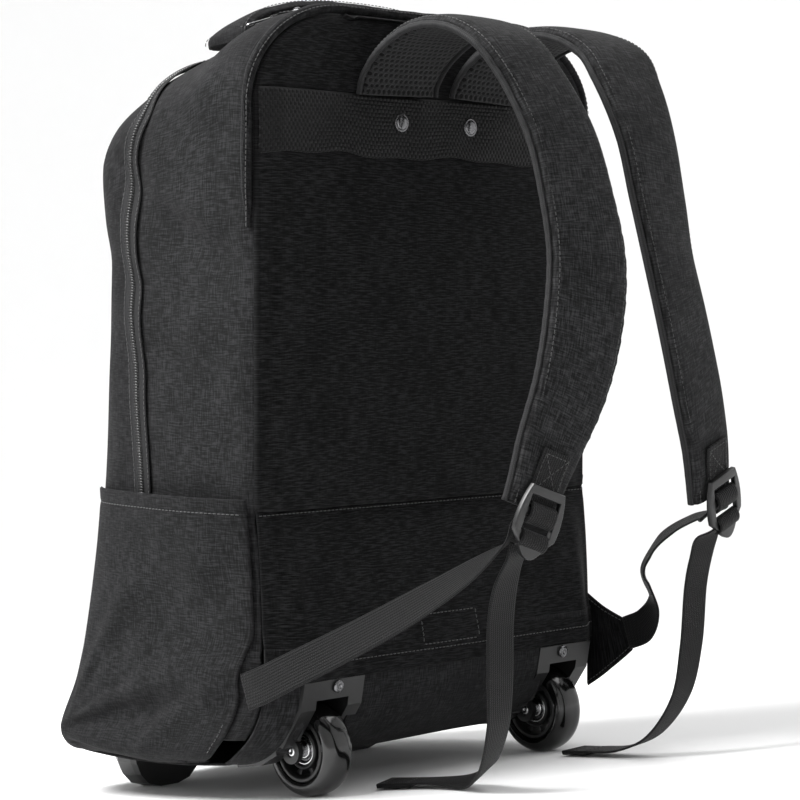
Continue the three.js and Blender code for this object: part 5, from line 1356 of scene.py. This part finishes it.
def wheel(side, word):
    x = side * WHEEL_X
    w, r, hub = 12.0, WHEEL_RADIUS, 22.0
    name = f"wheel_{word}"
    a = np.linspace(-1, 1, 29)
    crown = [(r * (0.80 + 0.20 * (1 - abs(q) ** 3.0) ** 0.5), w * q) for q in a]
    tyre = [(hub + 0.3, -w * 0.84), (hub + 0.3, w * 0.84), (hub + 1.2, w * 0.97)] + crown[::-1] + [(hub + 1.2, -w * 0.97)]
    turned(f"tyre_{word}_ring", tyre, x, 96, TYRE, name, (f"tyre_{word}",))
    rim = [(hub - 3.4, -w * 0.8), (hub - 3.4, w * 0.8), (hub - 2.6, w * 0.9), (hub - 0.7, w * 0.9), (hub, w * 0.8),
           (hub, -w * 0.8), (hub - 0.7, -w * 0.9), (hub - 2.6, -w * 0.9)]
    obj = turned(f"hub_{word}_rim", rim, x, 64, HUB, name, (f"hub_{word}",))
    bevel(obj, 0.3, 2)
    boss = [(10.8, -w * 0.66), (10.8, w * 0.66), (12.6, w * 0.72), (13.4, w * 0.62), (13.4, -w * 0.62), (12.6, -w * 0.72)]
    bevel(turned(f"hub_{word}_boss", boss, x, 48, HUB, name), 0.25, 2)
    spokes = []
    faces = []
    count = 9
    for s in range(count):
        mid = 2 * math.pi * s / count + 0.2
        base = len(spokes)
        for radius, half_angle, depth in ((12.4, 0.20, 0.42), (15.5, 0.105, 0.30), (19.6, 0.135, 0.42)):
            for da, along in ((-half_angle, -depth), (half_angle, -depth), (half_angle, depth), (-half_angle, depth)):
                ang = mid + da
                spokes.append((x + along * w, WHEEL_SETBACK + radius * math.cos(ang), WHEEL_RADIUS + radius * math.sin(ang)))
        for q in range(2):
            o = base + q * 4
            for m in range(4):
                faces.append([o + m, o + (m + 1) % 4, o + 4 + (m + 1) % 4, o + 4 + m])
        faces += [[base + 3, base + 2, base + 1, base], [base + 8, base + 9, base + 10, base + 11]]
    obj = new_object(f"hub_{word}_spokes", np.array(spokes), faces)
    turn_out(obj)
    bevel(obj, 0.5, 2)
    finish_piece(obj, HUB, name)
    race = [(8.6, -w * 0.6), (8.6, -w * 0.52), (8.2, -w * 0.46), (8.2, w * 0.46), (8.6, w * 0.52), (8.6, w * 0.6),
            (10.5, w * 0.6), (10.5, -w * 0.6)]
    turned(f"bearing_{word}_outer", race, x, 48, STEEL, name, (f"bearing_{word}",))
    inner = [(4.1, -w * 0.6), (4.1, w * 0.6), (5.9, w * 0.6), (6.2, w * 0.5), (6.2, -w * 0.5), (5.9, -w * 0.6)]
    turned(f"bearing_{word}_inner", inner, x, 40, STEEL, name)
    shield = [(6.2, -w * 0.50), (6.2, w * 0.50), (8.2, w * 0.50), (8.2, -w * 0.50)]
    turned(f"bearing_{word}_shield", shield, x, 40, DARK_METAL, name)
    reach_out = 18.0
    head = [(0.3, -reach_out), (3.0, -reach_out), (3.8, -reach_out + 0.8), (3.8, reach_out - 0.8), (3.0, reach_out),
            (0.3, reach_out)]
    turned(f"axle_{word}_pin", head, x, 32, STEEL, "bag", (f"axle_{word}",))


def screw(word, side):
    z = 79.6
    at = under_body(np.array(side * 113.0), np.array(77.0), 3.2 + 3.05)
    outward = unit(under_body(np.array(side * 113.0), np.array(77.0), 10.0) - at)
    right = np.array([1.0, 0, 0])
    up = np.cross(outward, right)
    rings = [(4.4, 0.0), (4.4, 0.9), (3.9, 1.5), (2.6, 1.9), (1.9, 1.95), (1.5, 1.1), (0.4, 1.0)]
    angle = np.linspace(0, 2 * math.pi, 29)[:-1]
    pts = np.array([at + (right * math.cos(a) + up * math.sin(a)) * r + outward * h for r, h in rings for a in angle])
    faces = grid_faces(len(rings), 28, wrap=True)
    faces.append(list(range((len(rings) - 1) * 28, len(rings) * 28)))
    obj = new_object(f"housing_screw_{word}", pts, faces)
    turn_out(obj)
    return finish_piece(obj, DARK_METAL)


def rivet(word, side):
    x, z = side * 34.3, 454.2
    y = float(panel_face(0.2, side_place(380.0))) - SEAT - 1.6 + 0.9
    t = np.linspace(0, 1, 9)
    rings = [(5.0, 0.0)] + [(5.0 * math.cos(q * math.pi / 2) + 0.02, 0.5 + 1.9 * math.sin(q * math.pi / 2)) for q in t]
    angle = np.linspace(0, 2 * math.pi, 33)[:-1]
    pts = np.array([[x + r * math.cos(a), y - h, z + r * math.sin(a)] for r, h in rings for a in angle])
    obj = new_object(f"rivet_{word}_cap", pts, grid_faces(len(rings), 32, wrap=True))
    weld(obj, 0.05)
    turn_out(obj)
    finish_piece(obj, DARK_METAL, nodes=(f"rivet_{word}",))
    washer = [(5.2, 0.0), (6.4, 0.0), (6.4, 0.7), (6.0, 1.0), (5.2, 1.0)]
    pts = np.array([[x + r * math.cos(a), y + 0.3 - h, z + r * math.sin(a)] for r, h in washer for a in angle])
    obj = new_object(f"rivet_{word}_ring", pts, grid_faces(len(washer), 32, wrap=True))
    turn_out(obj)
    finish_piece(obj, DARK_METAL)




main_cloth()
front_cloth()
front_pocket_cloth()
side_pocket(-1, "left")
side_pocket(1, "right")
back_panel()
top_band()
lower_back()
base_cloth()
back_welt()
zips()
grab_handle()
BINDING = ribbed("Edge binding", (0.004, 0.004, 0.004), (0.02, 0.02, 0.021), rib=1.2, pick=1.2, height=0.0003)
for side, word, lower, tail in ((-1, "left", LOWER_LEFT, TAIL_LEFT), (1, "right", LOWER_RIGHT, TAIL_RIGHT)):
    centre, end = strap(side, word)
    webbing(word, lower, tail, centre, end)
    wheel(side, word)
    rivet(word, side)
    screw(word, side)
anchor_tab()
stitches("stitching", seams)


# Solids whose shape is the frame's own get a finish alone
def dress(node, finish):
    obj = frame["nodes"][node]
    obj.data.materials.clear()
    obj.data.materials.append(finish)


for word in ("left", "right"):
    dress(f"wheel_housing_{word}", PLASTIC)
    dress(f"foot_{word}", PLASTIC)


# Stage, light and camera

def in_row(point):
    return Vector(row(np.asarray(point, float)).tolist())


def stage():
    radius, low = 3.2, 0.0
    profile = [(r, 0.0) for r in np.linspace(0.0, 2.0, 12)] + [
        (2.0 + 1.2 * math.sin(a), 1.2 - 1.2 * math.cos(a)) for a in np.linspace(0, math.pi / 2, 14)[1:]] + [(radius, 3.0)]
    sides = 96
    verts, faces = [], []
    for r, z in profile:
        verts += [(r * math.cos(2 * math.pi * k / sides), r * math.sin(2 * math.pi * k / sides), z) for k in range(sides)]
    for i in range(len(profile) - 1):
        for k in range(sides):
            q = (k + 1) % sides
            faces.append((i * sides + k, i * sides + q, (i + 1) * sides + q, (i + 1) * sides + k))
    mesh = bpy.data.meshes.new("backdrop")
    mesh.from_pydata(verts, [], faces)
    mesh.polygons.foreach_set("use_smooth", [True] * len(mesh.polygons))
    obj = bpy.data.objects.new("backdrop", mesh)
    bpy.context.scene.collection.objects.link(obj)
    mat, tree, shader = tree_of("Pale backdrop", (0.9, 0.9, 0.9), 0.9, specular=0.1)
    obj.data.materials.append(mat)


def light(name, at, aim, size, power):
    data = bpy.data.lights.new(name, "AREA")
    data.shape = "RECTANGLE"
    data.size, data.size_y = size
    data.energy = power
    obj = bpy.data.objects.new(name, data)
    obj.location = at
    obj.rotation_euler = (Vector(aim) - Vector(at)).to_track_quat("-Z", "Y").to_euler()
    bpy.context.scene.collection.objects.link(obj)


stage()
light("key", (-1.0, 0.45, 1.55), (0, 0.05, 0.38), (0.9, 0.9), 62)
light("top", (0.9, -0.6, 2.5), (0, 0, 0.2), (1.8, 1.8), 26)
world = bpy.data.worlds.new("World")
bpy.context.scene.world = world
world.use_nodes = True
world.node_tree.nodes["Background"].inputs["Color"].default_value = (1, 1, 1, 1)
world.node_tree.nodes["Background"].inputs["Strength"].default_value = 0.5

camera_data = bpy.data.cameras.new("Camera")
camera_data.sensor_width = 36
camera_data.lens = 36 * 2450 / 800
camera_data.clip_start = 0.05
camera = bpy.data.objects.new("Camera", camera_data)
bpy.context.scene.collection.objects.link(camera)
bpy.context.scene.camera = camera
place = in_row((-1229, -1197, 336))
pitch = math.radians(2.45)
forward = np.array([math.cos(pitch) * math.sqrt(0.5), math.cos(pitch) * math.sqrt(0.5), -math.sin(pitch)])
right = unit(np.cross(forward, [0, 0, 1.0]))
up = np.cross(right, forward)
axes = TURN @ np.stack([right, up, -forward], 1)
camera.matrix_world = Matrix.Translation(place) @ Matrix(axes.tolist()).to_4x4()

bpy.context.scene.view_settings.view_transform = "Standard"
bpy.context.scene.view_settings.look = "None"
